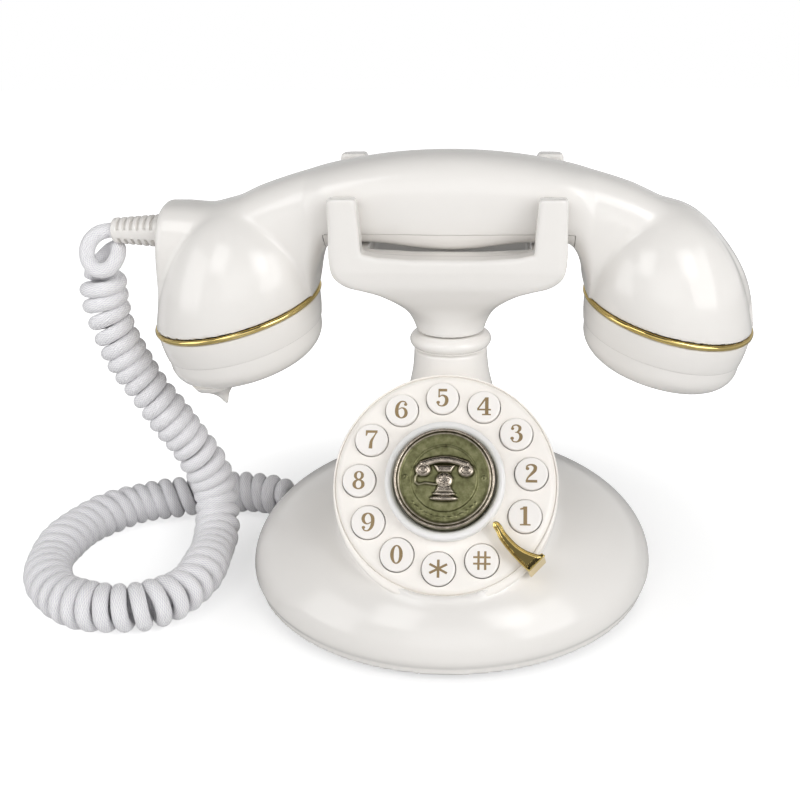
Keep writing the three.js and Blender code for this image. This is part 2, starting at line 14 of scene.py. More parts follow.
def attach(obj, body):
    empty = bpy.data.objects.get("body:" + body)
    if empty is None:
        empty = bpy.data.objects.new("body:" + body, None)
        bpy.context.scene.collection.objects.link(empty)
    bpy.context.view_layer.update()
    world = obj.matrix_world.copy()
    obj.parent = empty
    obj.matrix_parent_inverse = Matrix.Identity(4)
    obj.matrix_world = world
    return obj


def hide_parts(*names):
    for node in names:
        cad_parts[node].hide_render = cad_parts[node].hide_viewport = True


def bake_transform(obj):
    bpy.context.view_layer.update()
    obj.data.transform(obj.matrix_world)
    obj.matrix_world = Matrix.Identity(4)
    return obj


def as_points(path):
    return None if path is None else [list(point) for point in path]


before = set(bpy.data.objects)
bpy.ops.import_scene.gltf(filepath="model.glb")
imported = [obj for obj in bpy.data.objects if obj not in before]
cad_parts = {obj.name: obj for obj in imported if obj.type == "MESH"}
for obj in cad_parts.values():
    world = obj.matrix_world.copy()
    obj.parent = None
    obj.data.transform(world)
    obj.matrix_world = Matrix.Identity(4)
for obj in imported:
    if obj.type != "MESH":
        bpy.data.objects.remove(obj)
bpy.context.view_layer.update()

MM = 0.001

# ---------------------------------------------------------------- dimensions shared with the CAD
GAP = 0.3
BASE_RADIUS = 76.8
DOME_Z = 9.0
DOME_RISE = 35.0
COLUMN_TOP_Z = 92.5
COLLAR_TOP_Z = 98.4
DIAL_RADIUS = 37.8
DIAL_THICK = 4.0
KEY_CIRCLE = 29.3
KEY_RADIUS = 5.6
KEY_PROUD = 1.6
KEY_LENGTH = 5.8
KEY_FIRST = math.radians(-22.7)
KEY_STEP = math.radians(28.97)
KEY_NAMES = ["1", "2", "3", "4", "5", "6", "7", "8", "9", "0", "star", "hash"]
MEDALLION_RADIUS = 16.9
MEDALLION_TOP = 6.85
CRADLE_HALF_X = 40.4
CRADLE_HALF_Y = 22.4
PRONG_INNER_X = 29.0
CORRIDOR_HALF = 15.9
SEAT_U = 25.9
TRAY_U = 21.0
TRAY_FRONT_Y = -9.5
PRONG_FRONT_Z = 149.5
PRONG_BACK_Z = 159.3
CUP_X = 78.7
CUP_TILT = math.radians(12.45)
CUP_RADIUS = 31.0
CUP_RISE = 39.0
CUP_LEAN = 6.0
RING_CLEAR = 1.3
GRIP_TOP = 57.1
GRIP_ARCH_RADIUS = 177.0
GRIP_HALF_DEPTH = 14.4
GRIP_BELLY = 23.4
CORD_END_X = -102.4
END_SLANT = 0.06
END_MIDDLE_U = 34
GRIP_POWER = 2.7
SEAM_U = 32.0
SEAM_HALF_X = 43.0
SEAM_OPENING = 0.16
SEAM_LIP = 1.3
BOOT_U = 28.6
BOOT_LENGTH = 17.2
BOOT_WIDE = 5.9
BOOT_NARROW = 4.5
SLIT_PITCH = 2.5
SLIT_COUNT = 6
SLIT_DEPTH = 1.15
BOOT_EDGE = 0.8
SEAM_DROP = 11.0
CAP_FACE = -22.2
HORN_AT = (-11.5, -15.5)
HORN_DROP = 8.8
CUP_SPLAY = 0.11
LINE_JACK_X = -24.0
LINE_JACK_Z = 13.5
SWITCH_X = (6.0, 26.0)
SWITCH_Z = 15.0
STRAND_RADIUS = 2.75
COIL_PITCH = 5.6


# ---------------------------------------------------------------- frames
def frame_matrix(origin, axis, angle):
    return Matrix.Translation(origin) @ Matrix.Rotation(angle, 4, axis)


WORLD = Matrix.Identity(4)
DIAL = frame_matrix((0, -43, 57.9), "X", math.radians(90 - 36.7))
HANDSET = frame_matrix((0, 5.5, 105.6), "X", math.radians(7))
JACK = frame_matrix((0, 0, 10.2), "Z", math.radians(152.5))
CUPS = {
    "mouth": HANDSET @ frame_matrix((-CUP_X, 0, 0), "Y", -CUP_TILT),
    "ear": HANDSET @ frame_matrix((CUP_X, 0, 0), "Y", CUP_TILT),
}


def moved(points, matrix):
    m = np.array(matrix, float)
    return np.asarray(points, float) @ m[:3, :3].T + m[:3, 3]


# ---------------------------------------------------------------- camera
def make_camera():
    pitch, yaw, roll = math.radians(21.36), math.radians(2.82), math.radians(-0.34)
    level = math.cos(pitch)
    look = Vector((-math.sin(yaw) * level, math.cos(yaw) * level, -math.sin(pitch)))
    right = Vector((math.cos(yaw), math.sin(yaw), 0))
    up = right.cross(look)
    rolled_right = right * math.cos(roll) + up * math.sin(roll)
    rolled_up = up * math.cos(roll) - right * math.sin(roll)
    data = bpy.data.cameras.new("camera")
    data.sensor_width = 36
    data.lens = 44.99
    data.shift_x = -0.0636
    data.clip_start, data.clip_end = 0.01, 20
    camera = bpy.data.objects.new("camera", data)
    turn = Matrix((rolled_right, rolled_up, -look)).transposed().to_4x4()
    camera.matrix_world = Matrix.Translation((0.0171, -0.3481, 0.2073)) @ turn
    bpy.context.scene.collection.objects.link(camera)
    bpy.context.scene.camera = camera


make_camera()


# ---------------------------------------------------------------- mesh helpers
def mesh_piece(name, points, faces, matrix=WORLD, sharp=40):
    mesh = bpy.data.meshes.new(name)
    mesh.from_pydata((moved(points, matrix) * MM).tolist(), [], faces)
    mesh.polygons.foreach_set("use_smooth", [True] * len(mesh.polygons))
    if sharp:
        mesh.set_sharp_from_angle(angle=math.radians(sharp))
    piece = bpy.data.objects.new(name, mesh)
    bpy.context.scene.collection.objects.link(piece)
    return piece


def finished(piece, body, material, slot, *nodes):
    piece.data.materials.clear()
    piece.data.materials.append(material)
    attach(piece, body)
    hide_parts(*nodes)
    return piece


def lathe(profile, sides=96, ring=False):
    """Points and faces of [radius, height] pairs turned about Z. A profile on the axis closes there."""
    points, faces, rows = [], [], []
    turns = [2 * math.pi * i / sides for i in range(sides)]
    for radius, height in profile:
        if radius < 1e-6:
            rows.append([len(points)])
            points.append((0, 0, height))
        else:
            rows.append(list(range(len(points), len(points) + sides)))
            points.extend((radius * math.cos(a), radius * math.sin(a), height) for a in turns)
    pairs = list(zip(rows, rows[1:])) + ([(rows[-1], rows[0])] if ring else [])
    for low, high in pairs:
        for i in range(sides):
            j = (i + 1) % sides
            if len(low) == 1:
                faces.append((low[0], high[j], high[i]))
            elif len(high) == 1:
                faces.append((low[i], low[j], high[0]))
            else:
                faces.append((low[i], low[j], high[j], high[i]))
    return np.array(points), faces


def sleeve_faces(rows, sides, outward=True):
    """Quads between rings of points that follow each other."""
    faces = []
    for a in range(0, (rows - 1) * sides, sides):
        b = a + sides
        for j in range(sides):
            k = (j + 1) % sides
            faces.append((a + j, a + k, b + k, b + j) if outward else (a + j, b + j, b + k, a + k))
    return faces


def keep_values(piece, name, values):
    piece.data.attributes.new(name, "FLOAT", "POINT").data.foreach_set("value", values)


def bake_modifiers(piece, sharp=50):
    graph = bpy.context.evaluated_depsgraph_get()
    mesh = bpy.data.meshes.new_from_object(piece.evaluated_get(graph))
    piece.modifiers.clear()
    piece.data = mesh
    mesh.polygons.foreach_set("use_smooth", [True] * len(mesh.polygons))
    mesh.set_sharp_from_angle(angle=math.radians(sharp))


def drill(piece, places, radius, low, high, sides, matrix, side=0):
    """Round holes in a piece, from one height to another."""
    points, faces = [], []
    for x, y in places:
        ring, quads = lathe([(0, low), (radius, low), (radius, high), (0, high)], sides)
        faces.extend([tuple(i + len(points) for i in f) for f in quads])
        points.extend(splay(ring, side) + np.array((x, y, 0)))
    cutter = mesh_piece("cutter", points, faces, matrix)
    modifier = piece.modifiers.new("boolean", "BOOLEAN")
    modifier.operation = "DIFFERENCE"
    modifier.solver = "EXACT"
    modifier.object = cutter
    bake_modifiers(piece)
    bpy.data.objects.remove(cutter)


def splay(points, side):
    """Points leaning inwards towards the grip as they rise."""
    out = np.array(points, float)
    out[:, 0] -= side * CUP_SPLAY * out[:, 2]
    return out


def arc(centre, height, radius, degrees):
    turns = [math.radians(d) for d in degrees]
    return [(centre + radius * math.cos(a), height + radius * math.sin(a)) for a in turns]


def rounded(profile, radius=0.5, steps=5):
    """A [radius, height] profile with its inner corners rounded."""
    done = [profile[0]]
    for before, here, after in zip(profile, profile[1:], profile[2:]):
        a, b, c = (np.array(p, float) for p in (before, here, after))
        reach = min(radius, np.linalg.norm(a - b) * 0.45, np.linalg.norm(c - b) * 0.45)
        start = b + (a - b) / np.linalg.norm(a - b) * reach
        end = b + (c - b) / np.linalg.norm(c - b) * reach
        for i in range(steps + 1):
            t = i / steps
            done.append(tuple((1 - t) ** 2 * start + 2 * t * (1 - t) * b + t ** 2 * end))
    return done + [profile[-1]]


def ring_profile(profile, radius=0.4):
    """A closed profile with every corner rounded."""
    return rounded([profile[-1], *profile, profile[0]], radius)[1:-1]


def catmull(points, count, power=0.25):
    """Points along a centripetal Catmull-Rom curve, count to a span."""
    p = np.array(points, float)
    p = np.vstack([2 * p[0] - p[1], p, 2 * p[-1] - p[-2]])
    out = []
    for i in range(1, len(p) - 2):
        p0, p1, p2, p3 = p[i - 1:i + 3]
        spans = (p1 - p0, p2 - p1, p3 - p2)
        d0, d1, d2 = (max((span @ span) ** power, 1e-4) for span in spans)
        t1 = ((p1 - p0) / d0 - (p2 - p0) / (d0 + d1) + (p2 - p1) / d1) * d1
        t2 = ((p2 - p1) / d1 - (p3 - p1) / (d1 + d2) + (p3 - p2) / d2) * d1
        for k in range(count):
            t = k / count
            out.append(p1 + t1 * t + (-3 * p1 + 3 * p2 - 2 * t1 - t2) * t ** 2
                       + (2 * p1 - 2 * p2 + t1 + t2) * t ** 3)
    return np.array(out + [p[-2]])


def smooth_step(low, high, value):
    t = np.clip((value - low) / (high - low), 0, 1)
    return t * t * (3 - 2 * t)


# ---------------------------------------------------------------- solids from distance fields
def join(a, b, k):
    h = np.clip(0.5 + 0.5 * (b - a) / k, 0, 1)
    return b + (a - b) * h - k * h * (1 - h)


def common(a, b, k):
    return -join(-a, -b, k)


def cut(a, b, k):
    return -join(-a, b, k)


def polygon_field(x, y, outline):
    """Signed distance to a closed outline, negative inside."""
    best = np.full(x.shape, 1e9)
    inside = np.zeros(x.shape, bool)
    for (ax, ay), (bx, by) in zip(outline, np.roll(outline, -1, axis=0)):
        ex, ey = bx - ax, by - ay
        along = np.clip(((x - ax) * ex + (y - ay) * ey) / (ex * ex + ey * ey + 1e-12), 0, 1)
        best = np.minimum(best, (x - ax - along * ex) ** 2 + (y - ay - along * ey) ** 2)
        if abs(ey) > 1e-12:
            crossed = ((ay > y) != (by > y)) & (x < ax + ex * (y - ay) / ey)
            inside ^= crossed
    return np.where(inside, -1, 1) * np.sqrt(best)


def box_field(p, centre, half):
    q = np.abs(p - np.array(centre)) - np.array(half)
    outside = np.linalg.norm(np.maximum(q, 0), axis=1)
    return outside + np.minimum(q.max(axis=1), 0)


def surface_of(field, low, high, step, relax=2):
    """The zero surface of a field as quads: one point to a crossed cell, drawn onto the surface."""
    axes = [np.arange(a - 1.5 * step, b + 2.5 * step, step) for a, b in zip(low, high)]
    shape = [len(a) for a in axes]
    grid = np.stack(np.meshgrid(*axes, indexing="ij"), -1).reshape(-1, 3)
    values = np.concatenate([field(part) for part in np.array_split(grid, 24)]).reshape(shape)
    inside = values < 0
    cells = tuple(n - 1 for n in shape)
    filled = sum(
        inside[i:i + cells[0], j:j + cells[1], k:k + cells[2]].astype(np.int8)
        for i in (0, 1) for j in (0, 1) for k in (0, 1)
    )
    crossed = np.argwhere((filled > 0) & (filled < 8))
    number = np.full(cells, -1)
    number[tuple(crossed.T)] = np.arange(len(crossed))
    total, count = np.zeros((len(crossed), 3)), np.zeros(len(crossed))
    for axis in range(3):
        others = [a for a in range(3) if a != axis]
        for i in (0, 1):
            for j in (0, 1):
                corner = np.zeros(3, int)
                corner[others[0]], corner[others[1]] = i, j
                unit = np.zeros(3, int)
                unit[axis] = 1
                start, end = crossed + corner, crossed + corner + unit
                va, vb = values[tuple(start.T)], values[tuple(end.T)]
                hit = (va < 0) != (vb < 0)
                t = va[hit] / (va[hit] - vb[hit])
                total[hit] += start[hit] + t[:, None] * unit
                count[hit] += 1
    points = total / count[:, None] * step + np.array([a[0] for a in axes])
    faces = []
    for axis in range(3):
        one, two = (axis + 1) % 3, (axis + 2) % 3
        unit = np.zeros(3, int)
        unit[axis] = 1
        span = tuple(slice(0, n - u) for n, u in zip(shape, unit))
        ahead = tuple(slice(u, n) for n, u in zip(shape, unit))
        edges = np.argwhere(inside[span] != inside[ahead])
        edges = edges[(edges[:, one] > 0) & (edges[:, two] > 0)]
        a, b = np.zeros(3, int), np.zeros(3, int)
        a[one], b[two] = 1, 1
        quad = np.stack([number[tuple((edges - s).T)] for s in (a + b, b, a * 0, a)], axis=1)
        flip = ~inside[tuple(edges.T)]
        quad[flip] = quad[flip][:, ::-1]
        faces.append(quad)
    faces = np.vstack(faces)
    sides = np.vstack([faces[:, [0, 1]], faces[:, [1, 2]], faces[:, [2, 3]], faces[:, [3, 0]]])
    for turn in range(relax + 1):
        for _ in range(3):
            points = drawn(points, field, step)
        if turn < relax:
            total, count = np.zeros_like(points), np.zeros(len(points))
            np.add.at(total, sides[:, 0], points[sides[:, 1]])
            np.add.at(count, sides[:, 0], 1)
            points = 0.4 * points + 0.6 * total / count[:, None]
    return points, faces.tolist()


def drawn(points, field, step):
    """Points moved along the field's slope towards its zero surface."""
    small = 0.02
    here = field(points)
    slope = np.stack([
        (field(points + small * unit) - field(points - small * unit)) / (2 * small)
        for unit in np.eye(3)
    ], axis=1)
    size = np.maximum((slope ** 2).sum(axis=1), 0.04)
    move = -(here / size)[:, None] * slope
    length = np.linalg.norm(move, axis=1)
    return points + move * np.minimum(1, 0.5 * step / np.maximum(length, 1e-9))[:, None]


# ---------------------------------------------------------------- materials
class Shader:
    """A material's node tree with short calls for the nodes used here."""

    def __init__(self, name, **sockets):
        self.material = bpy.data.materials.new(name)
        self.material.use_nodes = True
        self.nodes = self.material.node_tree.nodes
        self.links = self.material.node_tree.links
        self.principled = self.nodes["Principled BSDF"]
        self.put(self.principled, **sockets)
        self.place = self.add("ShaderNodeTexCoord").outputs["Object"]

    def add(self, kind, **settings):
        node = self.nodes.new(kind)
        for key, value in settings.items():
            setattr(node, key, value)
        return node

    def feed(self, socket, value):
        if isinstance(value, bpy.types.NodeSocket):
            self.links.new(value, socket)
        else:
            socket.default_value = value

    def put(self, node, **values):
        for name, value in values.items():
            self.feed(node.inputs[name.replace("_", " ")], value)

    def noise(self, scale, detail=3.0, roughness=0.55):
        node = self.add("ShaderNodeTexNoise")
        self.put(node, Vector=self.place, Scale=scale, Detail=detail, Roughness=roughness)
        return node.outputs["Fac"]

    def ramp(self, value, stops):
        node = self.add("ShaderNodeValToRGB")
        self.put(node, Fac=value)
        elements = node.color_ramp.elements
        while len(elements) < len(stops):
            elements.new(0.5)
        for element, (position, colour) in zip(elements, stops):
            element.position = position
            element.color = (*colour, 1)
        return node.outputs["Color"]

    def spread(self, value, low, high):
        node = self.add("ShaderNodeMapRange")
        self.put(node, Value=value, To_Min=low, To_Max=high)
        return node.outputs["Result"]

    def math(self, operation, a, b=0.0):
        node = self.add("ShaderNodeMath", operation=operation)
        self.feed(node.inputs[0], a)
        self.feed(node.inputs[1], b)
        return node.outputs[0]

    def bump(self, height, strength, distance):
        node = self.add("ShaderNodeBump")
        self.put(node, Strength=strength, Distance=distance, Height=height)
        self.put(self.principled, Normal=node.outputs["Normal"])

    def colour(self, value):
        self.put(self.principled, Base_Color=value)

    def rough(self, value):
        self.put(self.principled, Roughness=value)

    def attribute(self, name):
        return self.add("ShaderNodeAttribute", attribute_name=name).outputs["Fac"]


def linear(*rgb):
    """An sRGB colour from 0 to 255 as linear numbers."""
    return tuple((c / 255 / 12.92) if c <= 10 else ((c / 255 + 0.055) / 1.055) ** 2.4 for c in rgb)


def plastic(name, light, dark, rough, ripple=0.04, grain=0.0, coat=0.0):
    s = Shader(name, IOR=1.49, Coat_Weight=coat, Coat_Roughness=0.05)
    s.colour(s.ramp(s.noise(24, 4), [(0.32, dark), (0.68, light)]))
    s.rough(s.spread(s.noise(70, 3), rough * 0.88, rough * 1.15))
    height = s.noise(95, 2)
    if grain:
        fine = s.math("MULTIPLY", s.noise(2600, 2), grain)
        height = s.math("ADD", height, fine)
    s.bump(height, ripple, 0.0006)
    return s.material


def metal(name, light, dark, rough, brushed=0.0):
    s = Shader(name, Metallic=1.0, Specular_IOR_Level=0.6)
    s.colour(s.ramp(s.noise(60, 5), [(0.3, dark), (0.7, light)]))
    s.rough(s.spread(s.noise(180, 6, 0.7), rough * 0.6, rough * 1.6))
    s.bump(s.noise(600, 4, 0.7), 0.05 + brushed, 0.0002)
    return s.material


def rubber(name, light, dark):
    s = Shader(name, IOR=1.5)
    s.colour(s.ramp(s.noise(180, 5), [(0.3, dark), (0.7, light)]))
    s.rough(s.spread(s.noise(400, 4), 0.62, 0.88))
    s.bump(s.noise(1500, 3), 0.25, 0.0003)
    return s.material


def circuit_board(name):
    s = Shader(name, IOR=1.5)
    bricks = s.add("ShaderNodeTexBrick", offset=0.5)
    s.put(bricks, Vector=s.place, Scale=420, Mortar_Size=0.06, Mortar=(*linear(92, 138, 84), 1),
          Color1=(*linear(34, 92, 58), 1), Color2=(*linear(28, 78, 50), 1))
    s.colour(bricks.outputs["Color"])
    s.rough(s.spread(s.noise(220, 4), 0.3, 0.5))
    s.bump(bricks.outputs["Fac"], 0.2, 0.0002)
    return s.material


def brass_relief(name):
    """Aged brass: the low ground is olive patina, and the raised parts are rubbed to bare metal. The hollows of
    the relief are darkened further with painted shade.
    """
    s = Shader(name, Metallic=1.0)
    raised = s.attribute("raised")
    ground = s.ramp(s.noise(420, 8, 0.65), [
        (0.25, linear(82, 80, 56)), (0.5, linear(126, 126, 90)), (0.75, linear(160, 158, 122)),
    ])
    rubbed = s.ramp(s.noise(700, 5, 0.6), [(0.3, linear(138, 128, 116)), (0.7, linear(214, 202, 188))])
    blend = s.add("ShaderNodeMix", data_type="RGBA")
    s.put(blend, Factor=raised, A=ground, B=rubbed)
    # Painted shade: in the hollows of the relief the colour is multiplied down towards near black.
    hollow_shade_mix = s.add("ShaderNodeMix", data_type="RGBA", blend_type="MULTIPLY")
    painted_hollow_shade = s.ramp(s.attribute("hollow"), [(0.0, (1, 1, 1)), (1.0, (0.1, 0.09, 0.06))])
    s.put(hollow_shade_mix, Factor=1.0, A=blend.outputs["Result"], B=painted_hollow_shade)
    s.colour(hollow_shade_mix.outputs["Result"])
    worn = s.math("MULTIPLY", raised, -0.22)
    s.rough(s.math("ADD", s.spread(s.noise(500, 6, 0.7), 0.36, 0.56), worn))
    s.bump(s.noise(1100, 6, 0.7), 0.3, 0.0002)
    return s.material


def braided(name):
    """A textile braid: two sets of bundles cross over and under around the strand."""
    s = Shader(name, Sheen_Weight=0.7, Sheen_Roughness=0.4, IOR=1.45)
    along = s.attribute("strand_length")
    around = s.attribute("strand_turn")
    bundles, repeat = 5.0, 0.0034
    lift = s.math("MULTIPLY", along, 1 / repeat)
    turn = s.math("MULTIPLY", around, bundles)
    waves = []
    for sign in (1.0, -1.0):
        phase = s.math("ADD", turn, s.math("MULTIPLY", lift, sign))
        waves.append(s.math("SINE", s.math("MULTIPLY", phase, 2 * math.pi)))
    crossing = s.math("MULTIPLY", waves[0], waves[1])
    over = s.math("ABSOLUTE", crossing)
    slope = s.math("ADD", turn, s.math("MULTIPLY", lift, 3.0))
    yarn = s.math("SINE", s.math("MULTIPLY", slope, 10 * math.pi))
    height = s.math("ADD", over, s.math("MULTIPLY", yarn, 0.12))
    height = s.math("ADD", height, s.math("MULTIPLY", s.noise(3000, 3), 0.25))
    # The colour is painted shade: lavender grey where the braid's height is low, between the bundles, white
    # where a bundle lies on top.
    s.colour(s.ramp(over, [
        (0.0, linear(222, 218, 228)), (0.25, linear(248, 247, 250)), (0.5, (1.0, 1.0, 1.0)),
    ]))
    s.rough(s.spread(s.noise(900, 4), 0.55, 0.8))
    s.bump(height, 0.5, 0.0004)
    return s.material


SHELL = plastic("shell_gloss", linear(240, 237, 233), linear(238, 235, 231), 0.17, 0.02, coat=0.15)
DIAL_CREAM = plastic("dial_cream", linear(250, 246, 240), linear(247, 242, 236), 0.32, 0.05, 0.02)
KEY_WHITE = plastic("key_white", linear(248, 244, 240), linear(244, 240, 236), 0.34, 0.05, 0.03)
RING_WHITE = plastic("ring_white", linear(244, 243, 242), linear(239, 238, 237), 0.3, 0.05, 0.02)
INSIDE = plastic("inside_grey", linear(84, 87, 90), linear(70, 73, 76), 0.5, 0.08, 0.3)
INK = plastic("gold_ink", linear(158, 134, 94), linear(132, 110, 74), 0.42, 0.2, 0.6)
GOLD = metal("polished_gold", linear(232, 210, 142), linear(204, 178, 108), 0.07)
STEEL = metal("plated_steel", linear(205, 206, 208), linear(170, 172, 175), 0.3, 0.1)
PATINA = brass_relief("aged_brass")
RUBBER = rubber("grey_rubber", linear(170, 168, 162), linear(146, 144, 139))
BOARD = circuit_board("printed_board")
BRAID = braided("white_braid")


# ---------------------------------------------------------------- curly cord
COIL_ROUTE = [
    (-126.4, 2, 128), (-127.3, 2.4, 118), (-127.6, 3, 106), (-125.6, 4, 93.5), (-121.6, 6, 80.8),
    (-115.8, 8, 68.4), (-109.4, 10, 56), (-103.2, 13, 43), (-99, 15, 31), (-96.8, 13, 19.5),
    (-95.4, 5, 11.4), (-94.4, -6, 9.3), (-93.8, -18, 9.3), (-94.6, -30, 9.3), (-98.8, -40.5, 9.3),
    (-106.8, -47.2, 9.3), (-117.3, -49.4, 9.3), (-128.3, -48.4, 9.3), (-139.6, -43, 9.3),
    (-149, -32.5, 9.3), (-154.4, -19, 9.3), (-155.6, -4.5, 9.3), (-152.8, 9.5, 9.3),
    (-146.4, 21.4, 9.3), (-137.6, 29.9, 9.3), (-127, 35.3, 9.3), (-115.8, 39, 9.3),
    (-105.4, 42.2, 9.3), (-95.2, 43.6, 9.3), (-85.4, 42.6, 9.3), (-78, 40.1, 9.3),
    (-71.2, 37.1, 9.3),
]
# The strand leaves the boot, makes one open loop and goes over into the coil.
LEAD_IN = [
    (-118.5, 2, 133.9), (-122.6, 1.8, 134.1), (-126.9, 0.9, 132.8), (-130, -0.6, 129),
    (-130, -2.2, 124), (-126.8, -3.6, 120.7), (-122.4, -3.4, 121.2), (-119.9, -1, 124.6),
    (-120.4, 3, 127.4), (-124.4, 6.6, 126), (-129, 6.6, 122),
]
COIL_START_Z = 117.5
STEPS_PER_TURN = 30


def even(line, step):
    """A polyline resampled to even steps."""
    lengths = np.concatenate([[0], np.cumsum(np.linalg.norm(np.diff(line, axis=0), axis=1))])
    wanted = np.linspace(0, lengths[-1], max(2, int(round(lengths[-1] / step)) + 1))
    return np.stack([np.interp(wanted, lengths, line[:, i]) for i in range(3)], axis=1), wanted


def travelling_frames(line, first):
    """Two unit vectors across a line at each point, carried along without twist."""
    tangents = np.gradient(line, axis=0)
    tangents /= np.linalg.norm(tangents, axis=1)[:, None]
    across = np.zeros_like(line)
    across[0] = first - (first @ tangents[0]) * tangents[0]
    across[0] /= np.linalg.norm(across[0])
    for i in range(1, len(line)):
        v = across[i - 1] - (across[i - 1] @ tangents[i]) * tangents[i]
        across[i] = v / np.linalg.norm(v)
    return tangents, across, np.cross(tangents, across)


def coil_line():
    route = catmull(COIL_ROUTE, 24)
    route = route[np.argmax(route[:, 2] < COIL_START_Z):]
    axis, s = even(route, COIL_PITCH / STEPS_PER_TURN)
    tangents, side, other = travelling_frames(axis, np.array([-1.0, 0, 0]))
    total = s[-1]
    radius = 5.5 + 0.6 * smooth_step(15, 90, s)
    radius += 0.22 * np.sin(s * 0.23) + 0.16 * np.sin(s * 0.071 + 1.0)
    radius *= 1 - smooth_step(total - 6.5, total - 0.5, s)
    wobble = 0.5 * np.sin(s * 0.19) + 0.35 * np.sin(s * 0.083 + 2.0)
    phase = 2 * math.pi * s / COIL_PITCH + wobble
    lean = 0.75 * np.sin(phase + 0.8) * smooth_step(0, 20, s) * smooth_step(total, total - 20, s)
    line = axis + radius[:, None] * (np.cos(phase)[:, None] * side + np.sin(phase)[:, None] * other)
    return line + lean[:, None] * tangents


def tube(line, radius, sides):
    """Rings round a line, closed at both ends."""
    tangents, side, other = travelling_frames(line, np.array([0.0, 0.0, 1.0]))
    turns = np.linspace(0, 2 * math.pi, sides, endpoint=False)
    rings = line[:, None, :] + radius * (
        np.cos(turns)[None, :, None] * side[:, None, :] + np.sin(turns)[None, :, None] * other[:, None, :]
    )
    count = len(line)
    faces = sleeve_faces(count, sides)
    faces.append(tuple(reversed(range(sides))))
    faces.append(tuple(range((count - 1) * sides, count * sides)))
    return rings.reshape(-1, 3), faces


def make_cord():
    coil = coil_line()
    lead = catmull(LEAD_IN + [tuple(coil[0])], 12)
    line = np.vstack([lead[:-1], coil])
    line, s = even(line, 1.1)
    smooth = line.copy()
    smooth[1:-1] = (line[:-2] + 2 * line[1:-1] + line[2:]) / 4
    sides = 16
    points, faces = tube(smooth, STRAND_RADIUS, sides)
    piece = mesh_piece("curly_cord_strand", points, faces, sharp=60)
    keep_values(piece, "strand_length", np.repeat(s * MM, sides).astype(np.float32))
    # A turn counted there and back leaves no jump where the rings close.
    share = np.abs((np.arange(sides) / sides) * 2 - 1)
    keep_values(piece, "strand_turn", np.tile(share, len(smooth)).astype(np.float32))
    piece.data.materials.append(BRAID)
    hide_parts("curly_cord")
    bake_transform(piece)
    return piece, smooth * MM, s[-1] * MM


def make_boot():
    """Strain relief: slits above and below a smooth spine, tapering towards the cord."""
    length, rows, sides = BOOT_LENGTH, 150, 64
    points = []
    turns = np.linspace(0, 2 * math.pi, sides, endpoint=False)
    stations = np.concatenate([[0, 0], np.linspace(0, length, rows), [length, length]])
    for i, t in enumerate(stations):
        radius = BOOT_WIDE + (BOOT_NARROW - BOOT_WIDE) * t / length
        if t > length - BOOT_EDGE:
            radius -= BOOT_EDGE - math.sqrt(max(0, BOOT_EDGE ** 2 - (t - length + BOOT_EDGE) ** 2))
        if i == 0 or i == len(stations) - 1:
            radius = 0.4
        slit = (t - 2.0) / SLIT_PITCH
        near = abs(slit - round(slit)) * SLIT_PITCH
        here = 0 <= round(slit) < SLIT_COUNT
        deep = SLIT_DEPTH * (1 - smooth_step(0.42, 0.68, near)) if here else 0.0
        mask = smooth_step(0.3, 0.48, np.abs(np.sin(turns)))
        r = radius - deep * mask
        points.extend(np.stack([np.full(sides, -t), r * np.cos(turns), r * np.sin(turns)], axis=1))
    faces = sleeve_faces(len(stations), sides, outward=False)
    faces.append(tuple(range(sides)))
    faces.append(tuple(reversed(range((len(stations) - 1) * sides, len(stations) * sides))))
    end = CORD_END_X - END_SLANT * (END_MIDDLE_U - BOOT_U + BOOT_WIDE) - 0.4
    place = HANDSET @ Matrix.Translation((end, 0, BOOT_U))
    piece = mesh_piece("cord_boot_ribbed", points, faces, place, sharp=50)
    return finished(piece, "handset", SHELL, "white_shell", "cord_boot")


def make_plug():
    """A modular plug with its latch, in the handset jack."""
    def field(p):
        body = box_field(p, (BASE_RADIUS - 4, 0, 0), (5.9, 3.0, 2.2)) - 0.7
        latch = box_field(p, (BASE_RADIUS - 5.6, 0, 3.05), (4.4, 1.4, 0.25)) - 0.3
        neck = np.maximum(np.hypot(p[:, 1], p[:, 2]) - 2.9, np.abs(p[:, 0] - BASE_RADIUS - 1.6) - 2.4)
        return join(join(body, latch, 0.6), neck, 0.8)
    low, high = (BASE_RADIUS - 11, -4, -3.4), (BASE_RADIUS + 4.4, 4, 4)
    points, faces = surface_of(field, low, high, 0.35)
    piece = mesh_piece("cord_plug_modular", points, faces, JACK)
    return finished(piece, "base", INSIDE, "dark_plastic", "cord_plug")


cord, cord_path, cord_length = make_cord()
boot = make_boot()
plug = make_plug()
boot_tip = moved([(CORD_END_X - BOOT_LENGTH - 0.8, 0, BOOT_U)], HANDSET)[0] * MM
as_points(cord_path)


# ---------------------------------------------------------------- handset
def mixed(a, b, amount):
    return a + (b - a) * amount


def grip_top(x):
    arch = GRIP_TOP - x * x / (2 * GRIP_ARCH_RADIUS)
    left = mixed(arch, 39.1, smooth_step(-66, -94, x))
    crown = 48.5 * np.sqrt(np.maximum(0, 1 - ((np.maximum(x, 58) - 58) / 51) ** 2)) - 6
    right = mixed(arch, crown, smooth_step(62, 84, x))
    return np.where(x < 0, left, right)


def grip_bottom(x):
    reach = np.abs(x)
    ring_plane = (CUP_X - reach) * math.tan(CUP_TILT) + RING_CLEAR - 4
    belly = GRIP_BELLY + 3.2 * smooth_step(0, 32, reach)
    cheek = np.maximum(0, (np.minimum(reach, 50) - 38) / 10.4) ** 3.2
    return np.where(reach > 48.9, ring_plane, np.maximum(belly - 18.6 * cheek, ring_plane))


def grip_half_depth(x):
    return GRIP_HALF_DEPTH * np.sqrt(np.maximum(0.1, 1 - np.maximum(0, (x - 88) / 20) ** 2))


